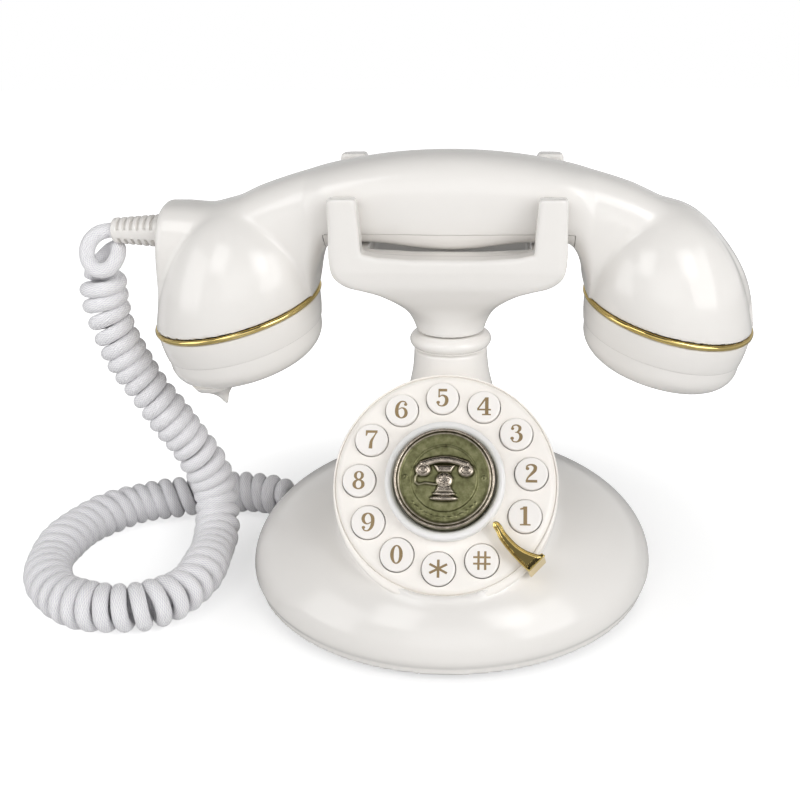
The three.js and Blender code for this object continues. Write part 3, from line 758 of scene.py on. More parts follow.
def cup_field(p, side):
    """A dome on the tilted ring plane whose crown leans towards the grip."""
    x, y, u = p[:, 0], p[:, 1], p[:, 2]
    h = u - RING_CLEAR
    # The crown leans inwards on the centre line and stands upright towards the front and the back.
    lean = mixed(CUP_LEAN, 2.6, smooth_step(4, 17, np.abs(y)))
    across = np.zeros_like(x)
    for _ in range(6):
        near = np.clip(1 - h / CUP_RISE, 0, 1.2)
        across = (x - side * (CUP_X - lean * (1 - near ** 2))) / mixed(1, math.cos(CUP_TILT), near)
        h = u - RING_CLEAR + side * across * math.sin(CUP_TILT) * near
    level = (across ** 2 + y ** 2) / CUP_RADIUS ** 2
    return (np.sqrt(level + (np.maximum(h, 0) / CUP_RISE) ** 2) - 1) * CUP_RADIUS


def handset_field(p):
    x, y, u = p[:, 0], p[:, 1], p[:, 2]
    beyond = np.maximum(0, -88 - x) / 14
    upright_x = x + beyond * END_SLANT * (END_MIDDLE_U - u)
    top, bottom, half = grip_top(upright_x), grip_bottom(upright_x), grip_half_depth(upright_x)
    high = np.maximum((top - bottom) / 2, 0.8)
    across, along = np.abs(y) / half, np.abs(u - (top + bottom) / 2) / high
    q = (across ** GRIP_POWER + along ** GRIP_POWER) ** (1 / GRIP_POWER)
    grip = (q - 1) * np.minimum(half, high)
    grip = common(grip, CORD_END_X - upright_x, 3.5)
    body = join(grip, np.where(x < 0, cup_field(p, -1), cup_field(p, 1)), 1.1)
    side = np.where(x < 0, -1, 1)
    plane = -((x - side * CUP_X) * side * math.sin(CUP_TILT) + (u - RING_CLEAR) * math.cos(CUP_TILT))
    return common(body, plane, 0.7)


def make_handset():
    points, faces = surface_of(handset_field, (-110.5, -32, -8), (110.5, 32, 58.5), 0.9)
    bm = bmesh.new()
    verts = [bm.verts.new(p) for p in points]
    for f in faces:
        bm.faces.new([verts[i] for i in f])
    ends = [((x, 0, 0), (1, 0, 0)) for x in (SEAM_HALF_X, -SEAM_HALF_X)]
    for co, no in [((0, 0, SEAM_U), (0, 0, 1)), *ends]:
        everything = bm.verts[:] + bm.edges[:] + bm.faces[:]
        bmesh.ops.bisect_plane(bm, geom=everything, dist=1e-5, plane_co=co, plane_no=no)
    below = [
        f for f in bm.faces
        if f.calc_center_median().z < SEAM_U and abs(f.calc_center_median().x) < SEAM_HALF_X
    ]
    under = seam_part(below, "grip_underside_moulded")
    bmesh.ops.delete(bm, geom=below, context="FACES")
    upper = seam_part(bm.faces[:], "handset_body_moulded")
    bm.free()
    finished(upper, "handset", SHELL, "white_shell", "handset_body")
    finished(under, "handset", SHELL, "white_shell", "grip_underside")


def seam_part(faces, name):
    """One side of the seam as its own piece, with a small gap and a lip turned inwards."""
    part = bmesh.new()
    copies = {}
    for f in faces:
        for v in f.verts:
            if v not in copies:
                copies[v] = part.verts.new(v.co)
        part.faces.new([copies[v] for v in f.verts])
    part.normal_update()
    rim = [e for e in part.edges if e.is_boundary]
    inward = {}
    for e in rim:
        middle = e.link_faces[0].calc_center_median()
        for v in e.verts:
            pull = (middle - v.co).normalized()
            inward[v] = inward.get(v, Vector()) + pull
    lips = {v: v.normal.copy() for v in inward}
    for v, pull in inward.items():
        v.co += pull.normalized() * SEAM_OPENING
    made = bmesh.ops.extrude_edge_only(part, edges=rim)
    for v in [g for g in made["geom"] if isinstance(g, bmesh.types.BMVert)]:
        rim_vertex = next((e.other_vert(v) for e in v.link_edges if e.other_vert(v) in lips), None)
        if rim_vertex is not None:
            v.co -= lips[rim_vertex] * SEAM_LIP
    points = [tuple(v.co) for v in part.verts]
    part.verts.index_update()
    listed = [[v.index for v in f.verts] for f in part.faces]
    part.free()
    return mesh_piece(name, points, listed, HANDSET, sharp=45)


make_handset()


def make_cup(name, side):
    at = CUPS[name]
    turns = np.linspace(0, 2 * math.pi, 20, endpoint=False)
    wire = [(CUP_RADIUS - 0.35 + 1.0 * math.cos(a), 1.0 * math.sin(a)) for a in turns]
    piece = mesh_piece(f"{name}_gold_ring", *lathe(wire, 144, ring=True), at, sharp=0)
    finished(piece, "handset", GOLD, "polished_gold", f"{name}_trim_ring")

    band = ring_profile([
        (27, -SEAM_DROP), (29.7, -SEAM_DROP), (30.25, -8), (30.6, -5), (30.8, -RING_CLEAR),
        (27, -RING_CLEAR),
    ], 0.5)
    points, faces = lathe(band, 128, ring=True)
    piece = mesh_piece(f"{name}_band_moulded", splay(points, side), faces, at, sharp=60)
    finished(piece, "handset", SHELL, "white_shell", f"{name}_band")

    top = -SEAM_DROP - GAP
    outside = [(0, CAP_FACE), (20.6, CAP_FACE)] + arc(20.6, CAP_FACE + 8.6, 8.6, range(-80, 1, 10))
    outside += [(29.4, top + 0.35), (29.1, top), (27.2, top), (26.8, -15), (24, -18.8), (0, -19.8)]
    points, faces = lathe(outside, 128)
    cap = mesh_piece(f"{name}_cap_moulded", splay(points, side), faces, at, sharp=50)
    sixths = [i * math.pi / 3 for i in range(6)]
    places = [(0, 0)] + [(8 * math.cos(a), 8 * math.sin(a)) for a in sixths]
    drill(cap, places, 1.3, -25, -16, 20, at, side)
    finished(cap, "handset", SHELL, "white_shell", f"{name}_cap")


for cup_name, cup_side in (("mouth", -1), ("ear", 1)):
    make_cup(cup_name, cup_side)


def make_horn():
    """The pointed voice horn under the mouthpiece, rooted in the cap's rounded edge."""
    profile = [(0, 0)]
    for i in range(1, 15):
        t = i / 14
        profile.append((0.7 * min(1, 6 * t) ** 0.5 + 1.5 * t + 6.2 * t ** 2.4, (HORN_DROP + 0.3) * t))
    profile += [(9.4, HORN_DROP + 2.4), (0, HORN_DROP + 2.4)]
    place = CUPS["mouth"] @ Matrix.Translation((*HORN_AT, CAP_FACE - GAP - HORN_DROP))
    piece = mesh_piece("mouth_horn_moulded", *lathe(profile, 64), place, sharp=50)
    finished(piece, "handset", SHELL, "white_shell", "mouth_horn")


make_horn()


# ---------------------------------------------------------------- base
def base_profile():
    points = [(0, 3.0), (BASE_RADIUS - 2.0, 3.0), (BASE_RADIUS - 1.5, 3.2)]
    for degrees in np.arange(-12, 57, 2.5):
        a = math.radians(degrees)
        rise = DOME_RISE if degrees >= 0 else 18
        points.append((BASE_RADIUS * math.cos(a), DOME_Z + rise * math.sin(a)))
    sweep = points[-2:] + [
        (33, 43.2), (25.5, 51), (20.2, 61), (16.4, 74), (14, 84), (13.2, COLUMN_TOP_Z),
    ]
    curve = catmull([(r, z, 0) for r, z in sweep], 8)[8:, :2]
    return np.array(points + [tuple(c) for c in curve[1:]] + [(0, COLUMN_TOP_Z)])


BASE_PROFILE = base_profile()
DIAL_INVERSE = DIAL.inverted()
JACK_INVERSE = JACK.inverted()
HANDSET_INVERSE = HANDSET.inverted()


def base_field(p):
    radius = np.hypot(p[:, 0], p[:, 1])
    body = polygon_field(radius, p[:, 2], BASE_PROFILE)
    d = moved(p, DIAL_INVERSE)
    from_centre = np.hypot(d[:, 0], d[:, 1]) - DIAL_RADIUS
    lean = d[:, 1] - 0.27 * np.minimum(0, d[:, 2] + 2)
    drum = np.hypot(d[:, 0], lean) - (DIAL_RADIUS - 0.4)
    drum = np.maximum(drum, np.maximum(d[:, 2] + 1.2, -d[:, 2] - 34))
    solid = join(body, drum, 5.0)
    seat = np.maximum(from_centre - 0.25, -d[:, 2] - DIAL_THICK - GAP)
    solid = cut(solid, seat, 0.5)
    # The keys sink into a well below the plate.
    well = np.maximum(from_centre + 2.0, -d[:, 2] - DIAL_THICK - 4)
    solid = cut(solid, well, 0.3)
    recess = np.maximum(radius - (BASE_RADIUS - 4.3), p[:, 2] - 5.6)
    solid = cut(solid, recess, 0.6)
    solid = cut(solid, box_field(p, (LINE_JACK_X, BASE_RADIUS - 9, LINE_JACK_Z), (6.8, 13, 6.3)), 0.6)
    solid = cut(solid, box_field(moved(p, JACK_INVERSE), (BASE_RADIUS - 2, 0, 0), (8, 6.3, 5.3)), 0.6)
    for x in SWITCH_X:
        solid = cut(solid, box_field(p, (x, BASE_RADIUS - 6, SWITCH_Z), (4.5, 8, 2)), 0.5)
    return solid


def make_base():
    low, high = (-77.5, -77.5, 2.5), (77.5, 77.5, 93)
    points, faces = surface_of(base_field, low, high, 1.15)
    piece = mesh_piece("base_shell_moulded", points, faces, sharp=0)
    finished(piece, "base", SHELL, "white_shell", "base_shell")

    low = COLUMN_TOP_Z + GAP
    bead = [(9.6, low), (13.5, low)] + arc(12.3, 95.5, 2.5, range(-70, 71, 10))
    bead += [(12.6, COLLAR_TOP_Z), (9.6, COLLAR_TOP_Z)]
    piece = mesh_piece("column_collar_moulded", *lathe(bead, 96, ring=True), sharp=50)
    finished(piece, "base", SHELL, "white_shell", "column_collar")


make_base()


# ---------------------------------------------------------------- cradle
def mirrored(half):
    return np.array(list(half) + [(-x, z) for x, z in reversed(half)])


FOOT_Z = COLLAR_TOP_Z + GAP
FLANK = catmull([
    (12.2, FOOT_Z, 0), (13.2, 102, 0), (15.9, 107.5, 0), (19.5, 112, 0), (24.5, 115.6, 0),
    (30, 117.6, 0), (35.6, 119.3, 0), (39.2, 122.6, 0), (CRADLE_HALF_X, 127.5, 0),
    (CRADLE_HALF_X - 0.2, 140, 0),
], 5)[:, :2]
FRONT_OUTLINE = mirrored([tuple(p) for p in FLANK] + [
    (CRADLE_HALF_X - 0.4, 165), (PRONG_INNER_X + 2, 165), (PRONG_INNER_X, 131.2), (24, 130), (12, 129.2),
])
FLARE = catmull([
    (12.2, FOOT_Z, 0), (13, 104, 0), (15, 109, 0), (18.4, 114, 0), (21.2, 119, 0), (CRADLE_HALF_Y, 125, 0),
], 5)[:, :2]
SIDE_OUTLINE = np.array(
    [(-y, z) for y, z in reversed([tuple(p) for p in FLARE])] + [tuple(p) for p in FLARE]
    + [(CRADLE_HALF_Y, PRONG_BACK_Z), (0, PRONG_BACK_Z), (-12, PRONG_FRONT_Z), (-CRADLE_HALF_Y, PRONG_FRONT_Z)]
)


def yoke_field(p):
    x, y, z = p.T
    front = polygon_field(x, z, FRONT_OUTLINE)
    side = polygon_field(y, z, SIDE_OUTLINE)
    solid = common(front, side, 1.6)
    # The section is round at the collar and squares up towards the prongs.
    wide, deep = np.interp(z, FLANK[:, 1], FLANK[:, 0]), np.interp(z, FLARE[:, 1], FLARE[:, 0])
    power = 2 + 16 * smooth_step(FOOT_Z + 1, 126, z) ** 2
    section = ((np.abs(x) / wide) ** power + (np.abs(y) / deep) ** power) ** (1 / power) - 1
    solid = common(solid, section * np.minimum(wide, deep), 0.8)
    h = moved(p, HANDSET_INVERSE)
    corridor = np.maximum(np.abs(h[:, 1]) - CORRIDOR_HALF, SEAT_U - h[:, 2])
    corridor = np.maximum(corridor, np.abs(h[:, 0]) - 60)
    solid = cut(solid, corridor, 1.2)
    corner = 1.5
    depth = (SEAT_U - TRAY_U) / 2 + 1
    half = np.array((PRONG_INNER_X - 1, (17 - TRAY_FRONT_Y) / 2, depth)) - corner
    tray = box_field(h, (0, (17 + TRAY_FRONT_Y) / 2, TRAY_U + depth), half) - corner
    solid = cut(solid, tray, 1.0)
    bore = np.maximum(np.hypot(x, y) - 3.3, 100 - z)
    return cut(solid, bore, 0.5)


def make_yoke():
    low, high = (-41.5, -23.5, 98), (41.5, 23.5, 160)
    points, faces = surface_of(yoke_field, low, high, 0.75)
    piece = mesh_piece("cradle_yoke_moulded", points, faces, sharp=0)
    finished(piece, "base", SHELL, "white_shell", "cradle_yoke")

    profile = [(0, 98.8), (4.6, 98.8), (4.6, 100.8), (2.9, 100.8), (2.9, 124.6)]
    profile += arc(1.1, 124.6, 1.8, range(15, 91, 15)) + [(0, 126.4)]
    piece = mesh_piece("hook_plunger_turned", *lathe(profile, 48), sharp=50)
    finished(piece, "hook", KEY_WHITE, "key_white", "hook_plunger")


make_yoke()


# ---------------------------------------------------------------- flat marks
def filled(polygons):
    """Points and triangles of the union of flat polygons."""
    points, listed = [], []
    for polygon in polygons:
        listed.append(list(range(len(points), len(points) + len(polygon))))
        points.extend(Vector(p) for p in polygon)
    out = delaunay_2d_cdt(points, [], listed, 1, 1e-4)
    kept = [face for face, origin in zip(out[2], out[5]) if origin]
    return [tuple(p) for p in out[0]], kept


def slab(polygons, low, high):
    """The union of flat polygons as a thin solid."""
    flat, triangles = filled(polygons)
    count = len(flat)
    points = [(x, y, high) for x, y in flat] + [(x, y, low) for x, y in flat]
    faces = [tuple(t) for t in triangles] + [tuple(i + count for i in reversed(t)) for t in triangles]
    edges = [(a, b) for t in triangles for a, b in zip(t, list(t[1:]) + [t[0]])]
    listed = set(edges)
    faces += [(b, a, a + count, b + count) for a, b in edges if (b, a) not in listed]
    return points, faces


def stroke(points, straight=False):
    """A stroke of changing width through (x, y, width), as polygons that share their ends."""
    line = np.array(points, float) if straight else catmull(points, 7)
    heading = np.gradient(line[:, :2], axis=0)
    heading /= np.linalg.norm(heading, axis=1)[:, None]
    across = np.stack([-heading[:, 1], heading[:, 0]], axis=1) * line[:, 2:3] / 2
    left, right = line[:, :2] + across, line[:, :2] - across
    return [
        [tuple(right[i]), tuple(right[i + 1]), tuple(left[i + 1]), tuple(left[i])]
        for i in range(len(line) - 1)
    ]


def dot(x, y, radius, sides=20):
    turns = [2 * math.pi * i / sides for i in range(sides)]
    return [[(x + radius * math.cos(a), y + radius * math.sin(a)) for a in turns]]


def bar(x0, y0, x1, y1):
    return [[(x0, y0), (x1, y0), (x1, y1), (x0, y1)]]


def loop(x, y, rx, ry, thick, thin):
    turns = np.linspace(0, 2 * math.pi, 41)
    line = [
        (x + rx * math.cos(a), y + ry * math.sin(a), thin + (thick - thin) * math.cos(a) ** 2) for a in turns
    ]
    return stroke(line, straight=True)


SIX = stroke([
    (1.25, 1.9, 0.5), (0.85, 2.62, 0.4), (-0.1, 2.75, 0.45), (-1.1, 1.6, 0.85), (-1.42, -0.3, 1.0),
    (-1.15, -1.9, 0.9), (-0.1, -2.78, 0.4), (0.95, -2.2, 0.8), (1.3, -1.0, 0.95), (0.85, 0.2, 0.7),
    (0, 0.6, 0.36), (-0.9, 0.05, 0.3),
]) + dot(1.1, 1.75, 0.48)
GLYPH_WIDTH, GLYPH_HEIGHT = 1.2, 1.06
GLYPHS = {
    "1": bar(-0.5, -2.8, 0.55, 3.0) + bar(-1.45, -3.0, 1.5, -2.55)
         + [[(-1.4, 1.95), (-0.4, 2.05), (-0.4, 3.0), (-0.75, 2.6), (-1.4, 2.4)]],
    "2": stroke([(-1.3, 1.3, 0.5), (-1.25, 2.3, 0.5), (-0.2, 2.78, 0.5), (0.95, 2.2, 0.95),
                 (0.95, 1.1, 1.0), (0.1, -0.1, 0.8), (-1.0, -1.4, 0.5), (-1.4, -2.4, 0.45)])
         + dot(-1.15, 1.5, 0.5)
         + bar(-1.65, -3.0, 1.6, -2.15) + [[(1.2, -2.2), (1.5, -1.2), (1.8, -1.2), (1.6, -3.0), (1.2, -3.0)]],
    "3": stroke([(-1.2, 1.6, 0.5), (-0.95, 2.5, 0.42), (0.05, 2.8, 0.42), (0.95, 2.1, 0.85), (0.85, 1.1, 0.8),
                 (0.1, 0.42, 0.34), (-0.35, 0.36, 0.3)])
         + stroke([(-0.35, 0.36, 0.3), (0.4, 0.3, 0.4), (1.22, -0.5, 0.95), (1.15, -1.8, 0.95),
                   (0.1, -2.78, 0.42), (-1.0, -2.5, 0.42), (-1.35, -1.5, 0.5)])
         + dot(-1.1, 1.6, 0.46) + dot(-1.2, -1.6, 0.52),
    "4": bar(0.3, -2.8, 1.3, 3.0) + [[(0.35, 3.0), (-2.0, -0.85), (-1.6, -1.1), (0.9, 2.9)]]
         + bar(-1.95, -1.4, 2.0, -0.85) + bar(-0.5, -3.0, 2.0, -2.55),
    "5": bar(-1.15, 2.1, 1.3, 3.0) + bar(-1.2, 0.1, -0.8, 3.0)
         + stroke([(-1.0, 0.2, 0.3), (-0.1, 0.82, 0.45), (1.0, 0.2, 0.9), (1.25, -1.0, 1.0), (0.85, -2.2, 0.85),
                   (-0.1, -2.78, 0.42), (-1.1, -2.4, 0.42), (-1.35, -1.4, 0.5)]) + dot(-1.2, -1.6, 0.52),
    "6": SIX,
    "7": [[(-1.65, 3.0), (-1.65, 1.2), (-1.3, 1.2), (-1.05, 2.15), (1.7, 2.2), (1.7, 3.0)]]
         + stroke([(1.5, 2.5, 0.4), (0.75, 1.0, 0.45), (0.05, -0.6, 0.8), (-0.15, -3.0, 1.05)]),
    "8": loop(0, 1.5, 1.0, 1.25, 0.85, 0.42) + loop(0, -1.35, 1.25, 1.42, 0.95, 0.44),
    "9": [[(-x, -y) for x, y in polygon] for polygon in SIX],
    "0": loop(0, 0, 1.25, 2.75, 1.0, 0.42),
    "star": [
        [(x * math.cos(a) - y * math.sin(a), x * math.sin(a) + y * math.cos(a)) for x, y in polygon]
        for a in (0, math.pi / 3, -math.pi / 3) for polygon in bar(-0.36, -2.8, 0.36, 2.8)
    ],
    "hash": bar(-1.25, -2.9, -0.6, 2.9) + bar(0.6, -2.9, 1.25, 2.9)
            + bar(-2.4, 0.7, 2.4, 1.3) + bar(-2.4, -1.3, 2.4, -0.7),
}


# ---------------------------------------------------------------- dial
KEY_PLACES = [
    (KEY_CIRCLE * math.cos(KEY_FIRST + i * KEY_STEP), KEY_CIRCLE * math.sin(KEY_FIRST + i * KEY_STEP))
    for i in range(len(KEY_NAMES))
]


def make_dial_plate():
    profile = rounded([
        (0, -DIAL_THICK), (DIAL_RADIUS - 0.6, -DIAL_THICK), (DIAL_RADIUS, -DIAL_THICK + 0.8),
        (DIAL_RADIUS, -1.4), (DIAL_RADIUS - 1.5, 0), (0, 0),
    ], 1.1, 6)
    plate = mesh_piece("dial_plate_moulded", *lathe(profile, 160), DIAL)
    drill(plate, KEY_PLACES, KEY_RADIUS + GAP, -6, 2, 64, DIAL)
    bevel = plate.modifiers.new("bevel", "BEVEL")
    bevel.width = 0.00032
    bevel.segments = 3
    bevel.limit_method = "ANGLE"
    bevel.angle_limit = math.radians(60)
    bake_modifiers(plate, 40)
    finished(plate, "base", DIAL_CREAM, "dial_white", "dial_plate")


def make_bezel():
    """The rounded rim round the plate, wider below, where it runs down into the dome."""
    sides = 160
    points = []
    for i in range(sides):
        a = 2 * math.pi * i / sides
        inner = DIAL_RADIUS - 0.04
        outer = DIAL_RADIUS + 0.75 + 2.6 * max(0, -math.sin(a)) ** 1.6
        section = [
            (inner, -5), (inner, -1.2), (inner + 0.12, -0.9), (inner + 0.4, -0.8),
            (mixed(inner, outer, 0.72), -0.95), (outer - 0.22, -1.35), (outer, -2.1), (outer + 0.15, -12),
        ]
        points.extend((r * math.cos(a), r * math.sin(a), z) for r, z in section)
    rows = len(section)
    faces = []
    for i in range(sides):
        here, ahead = i * rows, (i + 1) % sides * rows
        for j in range(rows):
            k = (j + 1) % rows
            faces.append((here + k, ahead + k, ahead + j, here + j))
    piece = mesh_piece("dial_bezel_moulded", points, faces, DIAL, sharp=70)
    piece.data.materials.append(DIAL_CREAM)
    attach(piece, "base")


def make_keys():
    low = KEY_PROUD - KEY_LENGTH
    profile = rounded([
        (0, low), (KEY_RADIUS, low), (KEY_RADIUS, KEY_PROUD - 0.35), (KEY_RADIUS - 0.4, KEY_PROUD),
        (0, KEY_PROUD),
    ], 0.35, 4)
    for name, (x, y) in zip(KEY_NAMES, KEY_PLACES):
        place = DIAL @ Matrix.Translation((x, y, 0))
        cap = mesh_piece(f"key_{name}_cap", *lathe(profile, 64), place)
        finished(cap, f"key_{name}", KEY_WHITE, "key_white", f"key_{name}")
        points, faces = slab(GLYPHS[name], KEY_PROUD - 0.05, KEY_PROUD + 0.035)
        points = np.array(points) * (GLYPH_WIDTH, GLYPH_HEIGHT, 1)
        mark = mesh_piece(f"key_{name}_mark", points, faces, place, sharp=30)
        mark.data.materials.append(INK)
        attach(mark, f"key_{name}")


def make_centre_ring():
    profile = ring_profile([
        (17.5, GAP), (20.4, GAP), (20.4, 3.3), (20.1, 4.2), (19.4, 4.65), (18.3, 4.6), (17.5, 3.8),
    ], 0.6)
    piece = mesh_piece("centre_ring_moulded", *lathe(profile, 144, ring=True), DIAL, sharp=60)
    finished(piece, "base", RING_WHITE, "key_white", "centre_ring")


def pillow(distance, width):
    """1 well inside a shape, falling roundly to 0 at its edge."""
    t = np.clip(-distance / width, 0, 1)
    return np.sqrt(np.maximum(0, 1 - (1 - t) ** 2))


def segment_distance(x, y, a, b):
    ex, ey = b[0] - a[0], b[1] - a[1]
    t = np.clip(((x - a[0]) * ex + (y - a[1]) * ey) / (ex * ex + ey * ey), 0, 1)
    return np.hypot(x - a[0] - t * ex, y - a[1] - t * ey)


def line_distance(x, y, line):
    return np.minimum.reduce([segment_distance(x, y, a, b) for a, b in zip(line, line[1:])])


def ellipse_distance(x, y, cx, cy, rx, ry):
    return (np.hypot((x - cx) / rx, (y - cy) / ry) - 1) * min(rx, ry)


RELIEF_SCALE = 1.12


def telephone_relief(x, y):
    """Height of a small telephone in relief, in millimetres."""
    x, y = x / RELIEF_SCALE, y / RELIEF_SCALE
    arch = [(-6.6 + 13.2 * i / 16, 4.2 + 1.5 * math.sin(math.pi * i / 16)) for i in range(17)]
    cradle = [(-3.4, 4.0), (3.4, 4.0), (2.0, 1.6), (-2.0, 1.6)]
    column = [(-1.9, -2.0), (1.9, -2.0), (3.1, -4.4), (-3.1, -4.4)]
    parts = [
        1.15 * pillow(line_distance(x, y, arch) - 1.15, 1.1),
        1.35 * pillow(ellipse_distance(x, y, -6.4, 2.5, 2.5, 2.2), 1.7),
        1.35 * pillow(ellipse_distance(x, y, 6.4, 2.5, 2.5, 2.2), 1.7),
        0.95 * pillow(polygon_field(x, y, np.array(cradle)), 0.8),
        1.25 * pillow(ellipse_distance(x, y, 0, -0.6, 2.7, 2.5), 2.0),
        0.9 * pillow(polygon_field(x, y, np.array(column)), 0.8),
        1.1 * pillow(ellipse_distance(x, y, 0, -4.7, 3.7, 0.75), 0.6),
        1.3 * pillow(ellipse_distance(x, y, 0, -6.1, 4.4, 0.85), 0.7),
    ]
    cord_loop = [
        (-7.6, 1.6), (-8.6, 0.4), (-8.7, -1.2), (-7.6, -2.0), (-5.6, -1.5), (-4.0, -1.7), (-2.5, -1.9),
    ]
    parts.append(0.6 * pillow(line_distance(x, y, cord_loop) - 0.42, 0.4))
    height = np.maximum.reduce(parts)
    for i in range(8):
        a = i * math.pi / 4
        from_hole = np.hypot(x - 1.35 * math.cos(a), y + 0.6 - 1.2 * math.sin(a))
        height += 0.28 * pillow(from_hole - 0.38, 0.35)
    for side in (-1, 1):
        ring = np.abs(ellipse_distance(x, y, side * 6.5, 2.5, 1.3, 1.1)) - 0.22
        height -= 0.3 * pillow(ring, 0.2)
    return height


def medallion_height(x, y):
    r = np.hypot(x, y)
    height = telephone_relief(x, y)
    height += 0.24 * pillow(np.abs(r - 11.3) - 0.14, 0.14)
    height -= 0.16 * pillow(np.abs(r - 10.95) - 0.14, 0.14)
    for side in (-1, 1):
        from_dot = np.hypot(x - side * 13.1, y - 0.4)
        height += 0.35 * pillow(np.abs(from_dot - 0.5) - 0.22, 0.2)
    for i in range(-6, 7):
        a = math.radians(-90 + i * 8.6)
        from_x, from_y = x - 13.2 * math.cos(a), y - 13.2 * math.sin(a)
        if i % 2:
            leaf = ellipse_distance(
                from_x * -math.sin(a) + from_y * math.cos(a), from_x * math.cos(a) + from_y * math.sin(a),
                0, 0, 0.95, 0.42)
            height += 0.32 * pillow(leaf, 0.3)
        else:
            height += 0.32 * pillow(np.hypot(from_x, from_y) - 0.45, 0.35)
    rim = smooth_step(14.5, 14.8, r) * 0.3
    rim += 0.45 * pillow(np.abs(r - 15.35) - 0.4, 0.35)
    rim += 0.75 * pillow(np.abs(r - 16.4) - 0.55, 0.5)
    return height + rim


def make_medallion():
    radii = np.concatenate([np.arange(0.16, 16.8, 0.16), [MEDALLION_RADIUS - 0.04, MEDALLION_RADIUS]])
    sides = 288
    turns = np.linspace(0, 2 * math.pi, sides, endpoint=False)
    rr, aa = np.meshgrid(radii, turns, indexing="ij")
    x, y = rr * np.cos(aa), rr * np.sin(aa)
    height = medallion_height(x.ravel(), y.ravel())
    top = np.stack([x.ravel(), y.ravel(), MEDALLION_TOP + height], axis=1)
    below = [
        (r * math.cos(a), r * math.sin(a), z)
        for r, z in ((MEDALLION_RADIUS, 6.2), (MEDALLION_RADIUS, 3.0), (MEDALLION_RADIUS, GAP), (8, GAP))
        for a in turns
    ]
    crown = MEDALLION_TOP + float(medallion_height(np.zeros(1), np.zeros(1))[0])
    points = np.vstack([top, below, [(0, 0, crown), (0, 0, GAP)]])
    rows = len(radii) + 4
    faces = sleeve_faces(rows, sides, outward=False)
    centre, under = len(points) - 2, len(points) - 1
    faces.extend((centre, j, (j + 1) % sides) for j in range(sides))
    last = (rows - 1) * sides
    faces.extend((under, last + (j + 1) % sides, last + j) for j in range(sides))
    piece = mesh_piece("medallion_relief", points, faces, DIAL, sharp=70)
    raised = np.zeros(len(points), np.float32)
    raised[:len(top)] = smooth_step(0.25, 1.0, height)
    raised[len(top):len(top) + sides] = 0.4
    # hollow: how far each point lies below the height around it. The brass material darkens these places with
    # painted shade.
    hollow = np.zeros(len(points), np.float32)
    around = np.zeros(len(top))
    grid = height.reshape(len(radii), sides)
    for shift in (3, 6):
        for axis in (0, 1):
            for sign in (-1, 1):
                around += np.roll(grid, sign * shift, axis=axis).ravel() / 8
    hollow[:len(top)] = np.clip((around - height - 0.04) * 3.2, 0, 1) * (rr.ravel() < 16.0)
    keep_values(piece, "raised", raised)
    keep_values(piece, "hollow", hollow)
    finished(piece, "base", PATINA, "antique_brass", "medallion")


# The blade's two edges, from its tip near the ring to its heel at the rim.
STOP_RIGHT = [
    (24, 0.7, 0), (26.3, 0.05, 0), (29, -0.2, 0), (32.5, -0.15, 0), (35.5, 0.55, 0), (38.3, 1.8, 0),
    (41, 3.6, 0),
]
STOP_LEFT = [
    (41, -3.8, 0), (38.3, -4.0, 0), (35.5, -3.95, 0), (32.5, -3.85, 0), (29, -3.5, 0), (26.3, -3.0, 0),
    (24, -2.1, 0),
]
STOP_TIP = [(22.3, -1.7, 0), (21.5, -1.0, 0), (21.3, -0.4, 0), (21.7, 0.3, 0), (22.6, 0.75, 0)]
BLADE = np.vstack([catmull(STOP_RIGHT, 5), catmull([*STOP_LEFT, *STOP_TIP, STOP_RIGHT[0]], 5)[:-1]])[:, :2]


def stop_field(p):
    x, y, z = p.T
    blade = polygon_field(x, y, BLADE)
    top = common(blade, np.abs(z - 4.0) - 0.85, 0.35)
    dish = np.maximum(blade + 0.7, 4.3 - z)
    top = cut(top, dish, 0.4)
    # The leg leans outwards on its way down.
    lean = np.stack([x - 0.16 * (3.5 - z), y, z], axis=1)
    leg = box_field(lean, (40.4, -0.1, -0.4), (0.35, 3.35, 4.7)) - 0.3
    return join(top, leg, 0.6)


def make_finger_stop():
    points, faces = surface_of(stop_field, (20.5, -4.6, -6), (43, 4.6, 5.4), 0.26)
    tip = Matrix.Translation((17.0, -13.8, 0))
    place = DIAL @ tip @ Matrix.Rotation(math.radians(-44), 4, "Z") @ Matrix.Translation((-21.6, 0, 0))
    piece = mesh_piece("finger_stop_cast", points, faces, place, sharp=0)
    finished(piece, "base", GOLD, "polished_gold", "finger_stop")


make_dial_plate()
make_bezel()
make_keys()
make_centre_ring()
make_medallion()
make_finger_stop()

# ---------------------------------------------------------------- CAD nodes that stay
KEPT = {
    "base_plate": INSIDE, "ringer": INSIDE, "line_jack": INSIDE, "handset_jack": INSIDE,
    "ringer_switch": INSIDE, "tone_pulse_switch": INSIDE, "hook_switch": INSIDE, "ear_speaker": INSIDE,
    "microphone": INSIDE, "key_mat": RUBBER, "main_board": BOARD, "keypad_board": BOARD,
    "ballast_weight": STEEL, "handset_weight": STEEL, "grip_screw_1": STEEL, "grip_screw_2": STEEL,
}
for number in range(1, 5):
    KEPT[f"foot_{number}"] = RUBBER
    KEPT[f"base_screw_{number}"] = STEEL
for node, material in KEPT.items():
    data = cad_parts[node].data
    data.materials.clear()
    data.materials.append(material)


# ---------------------------------------------------------------- floor and light
# FLOOR_GLOW: the floor's camera-only glow near the phone, lower than further out, which paints a darker zone
# round it.
FLOOR_GLOW = 0.55
HORIZON_LIGHT = 0.77
ZENITH_LIGHT = 0.03


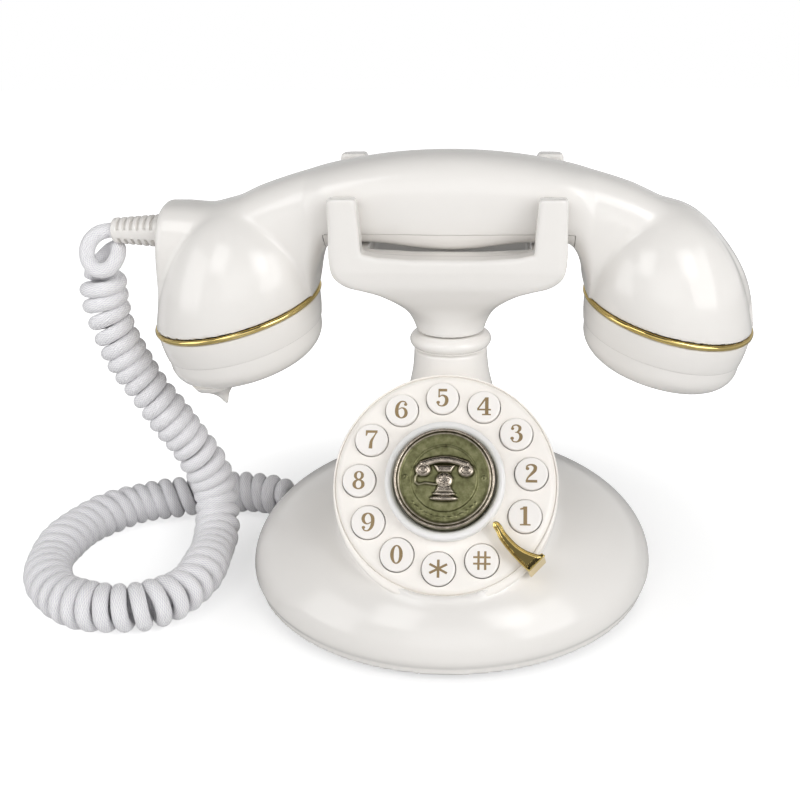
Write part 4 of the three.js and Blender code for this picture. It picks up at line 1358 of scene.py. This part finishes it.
def make_floor():
    """A plain grey card to the light. To the camera it also glows, weakest near the phone and rising to full
    between 8 and 22 cm from the centre, so the darker zone round the phone is painted shadow on top of its real
    soft shadow; beyond it the floor is pure white.
    """
    far = 2500
    corners = [(x, y, -0.3) for x, y in ((-far, -far), (far, -far), (far, far), (-far, far))]
    floor = mesh_piece("floor", corners, [(0, 1, 2, 3)])
    s = Shader("studio_floor", Roughness=0.9, Specular_IOR_Level=0.0)
    s.colour(s.ramp(s.noise(3, 2), [(0.3, (0.66, 0.66, 0.66)), (0.7, (0.68, 0.68, 0.68))]))
    away = s.add("ShaderNodeVectorMath", operation="LENGTH")
    s.feed(away.inputs[0], s.place)
    # Painted shadow: the camera-only glow is FLOOR_GLOW near the phone and rises to 1 further out, darkening
    # the floor round the phone.
    glow = s.add("ShaderNodeMapRange", interpolation_type="SMOOTHSTEP")
    s.put(glow, Value=away.outputs["Value"], From_Min=0.08, From_Max=0.22, To_Min=FLOOR_GLOW, To_Max=1.0)
    seen = s.add("ShaderNodeLightPath").outputs["Is Camera Ray"]
    strength = s.math("MULTIPLY", glow.outputs["Result"], seen)
    s.put(s.principled, Emission_Color=(1, 1, 1, 1), Emission_Strength=strength)
    floor.data.materials.append(s.material)


def area_light(name, at, target, size, power, height=None):
    data = bpy.data.lights.new(name, "AREA")
    data.shape = "RECTANGLE"
    data.size, data.size_y = size, height or size
    data.energy = power
    light = bpy.data.objects.new(name, data)
    light.location = at
    light.rotation_euler = (Vector(target) - Vector(at)).to_track_quat("-Z", "Y").to_euler()
    bpy.context.scene.collection.objects.link(light)


def make_world():
    """White to the camera. To the light it is a soft ring of brightness, falling to dark overhead."""
    world = bpy.data.worlds.new("studio")
    bpy.context.scene.world = world
    world.use_nodes = True
    nodes, links = world.node_tree.nodes, world.node_tree.links
    lit, seen = nodes["Background"], nodes.new("ShaderNodeBackground")
    seen.inputs["Color"].default_value = (1, 1, 1, 1)
    place, split = nodes.new("ShaderNodeTexCoord"), nodes.new("ShaderNodeSeparateXYZ")
    dome = nodes.new("ShaderNodeMapRange")
    limits = {"From Min": 0.0, "From Max": 0.9, "To Min": HORIZON_LIGHT, "To Max": ZENITH_LIGHT}
    for socket, value in limits.items():
        dome.inputs[socket].default_value = value
    links.new(place.outputs["Generated"], split.inputs[0])
    links.new(split.outputs["Z"], dome.inputs["Value"])
    links.new(dome.outputs["Result"], lit.inputs["Strength"])
    lit.inputs["Color"].default_value = (1, 1, 1, 1)
    mix, path = nodes.new("ShaderNodeMixShader"), nodes.new("ShaderNodeLightPath")
    links.new(path.outputs["Is Camera Ray"], mix.inputs["Fac"])
    links.new(lit.outputs["Background"], mix.inputs[1])
    links.new(seen.outputs["Background"], mix.inputs[2])
    links.new(mix.outputs["Shader"], nodes["World Output"].inputs["Surface"])


make_floor()
make_world()
area_light("high_left", (-0.5, -0.8, 0.85), (0, 0, 0.08), 0.45, 2.3, 0.6)
area_light("high_right", (0.6, -0.8, 0.85), (0, 0, 0.08), 0.45, 2.3, 0.6)
area_light("right", (0.85, -0.65, 0.5), (0, 0, 0.08), 0.7, 4.9, 0.9)
area_light("left", (-0.95, -0.45, 0.35), (-0.05, 0, 0.06), 0.6, 2.6, 0.8)
area_light("front", (0.0, -1.15, 0.4), (0, 0, 0.08), 0.9, 1.2, 0.7)
bpy.context.scene.view_settings.view_transform = "Standard"
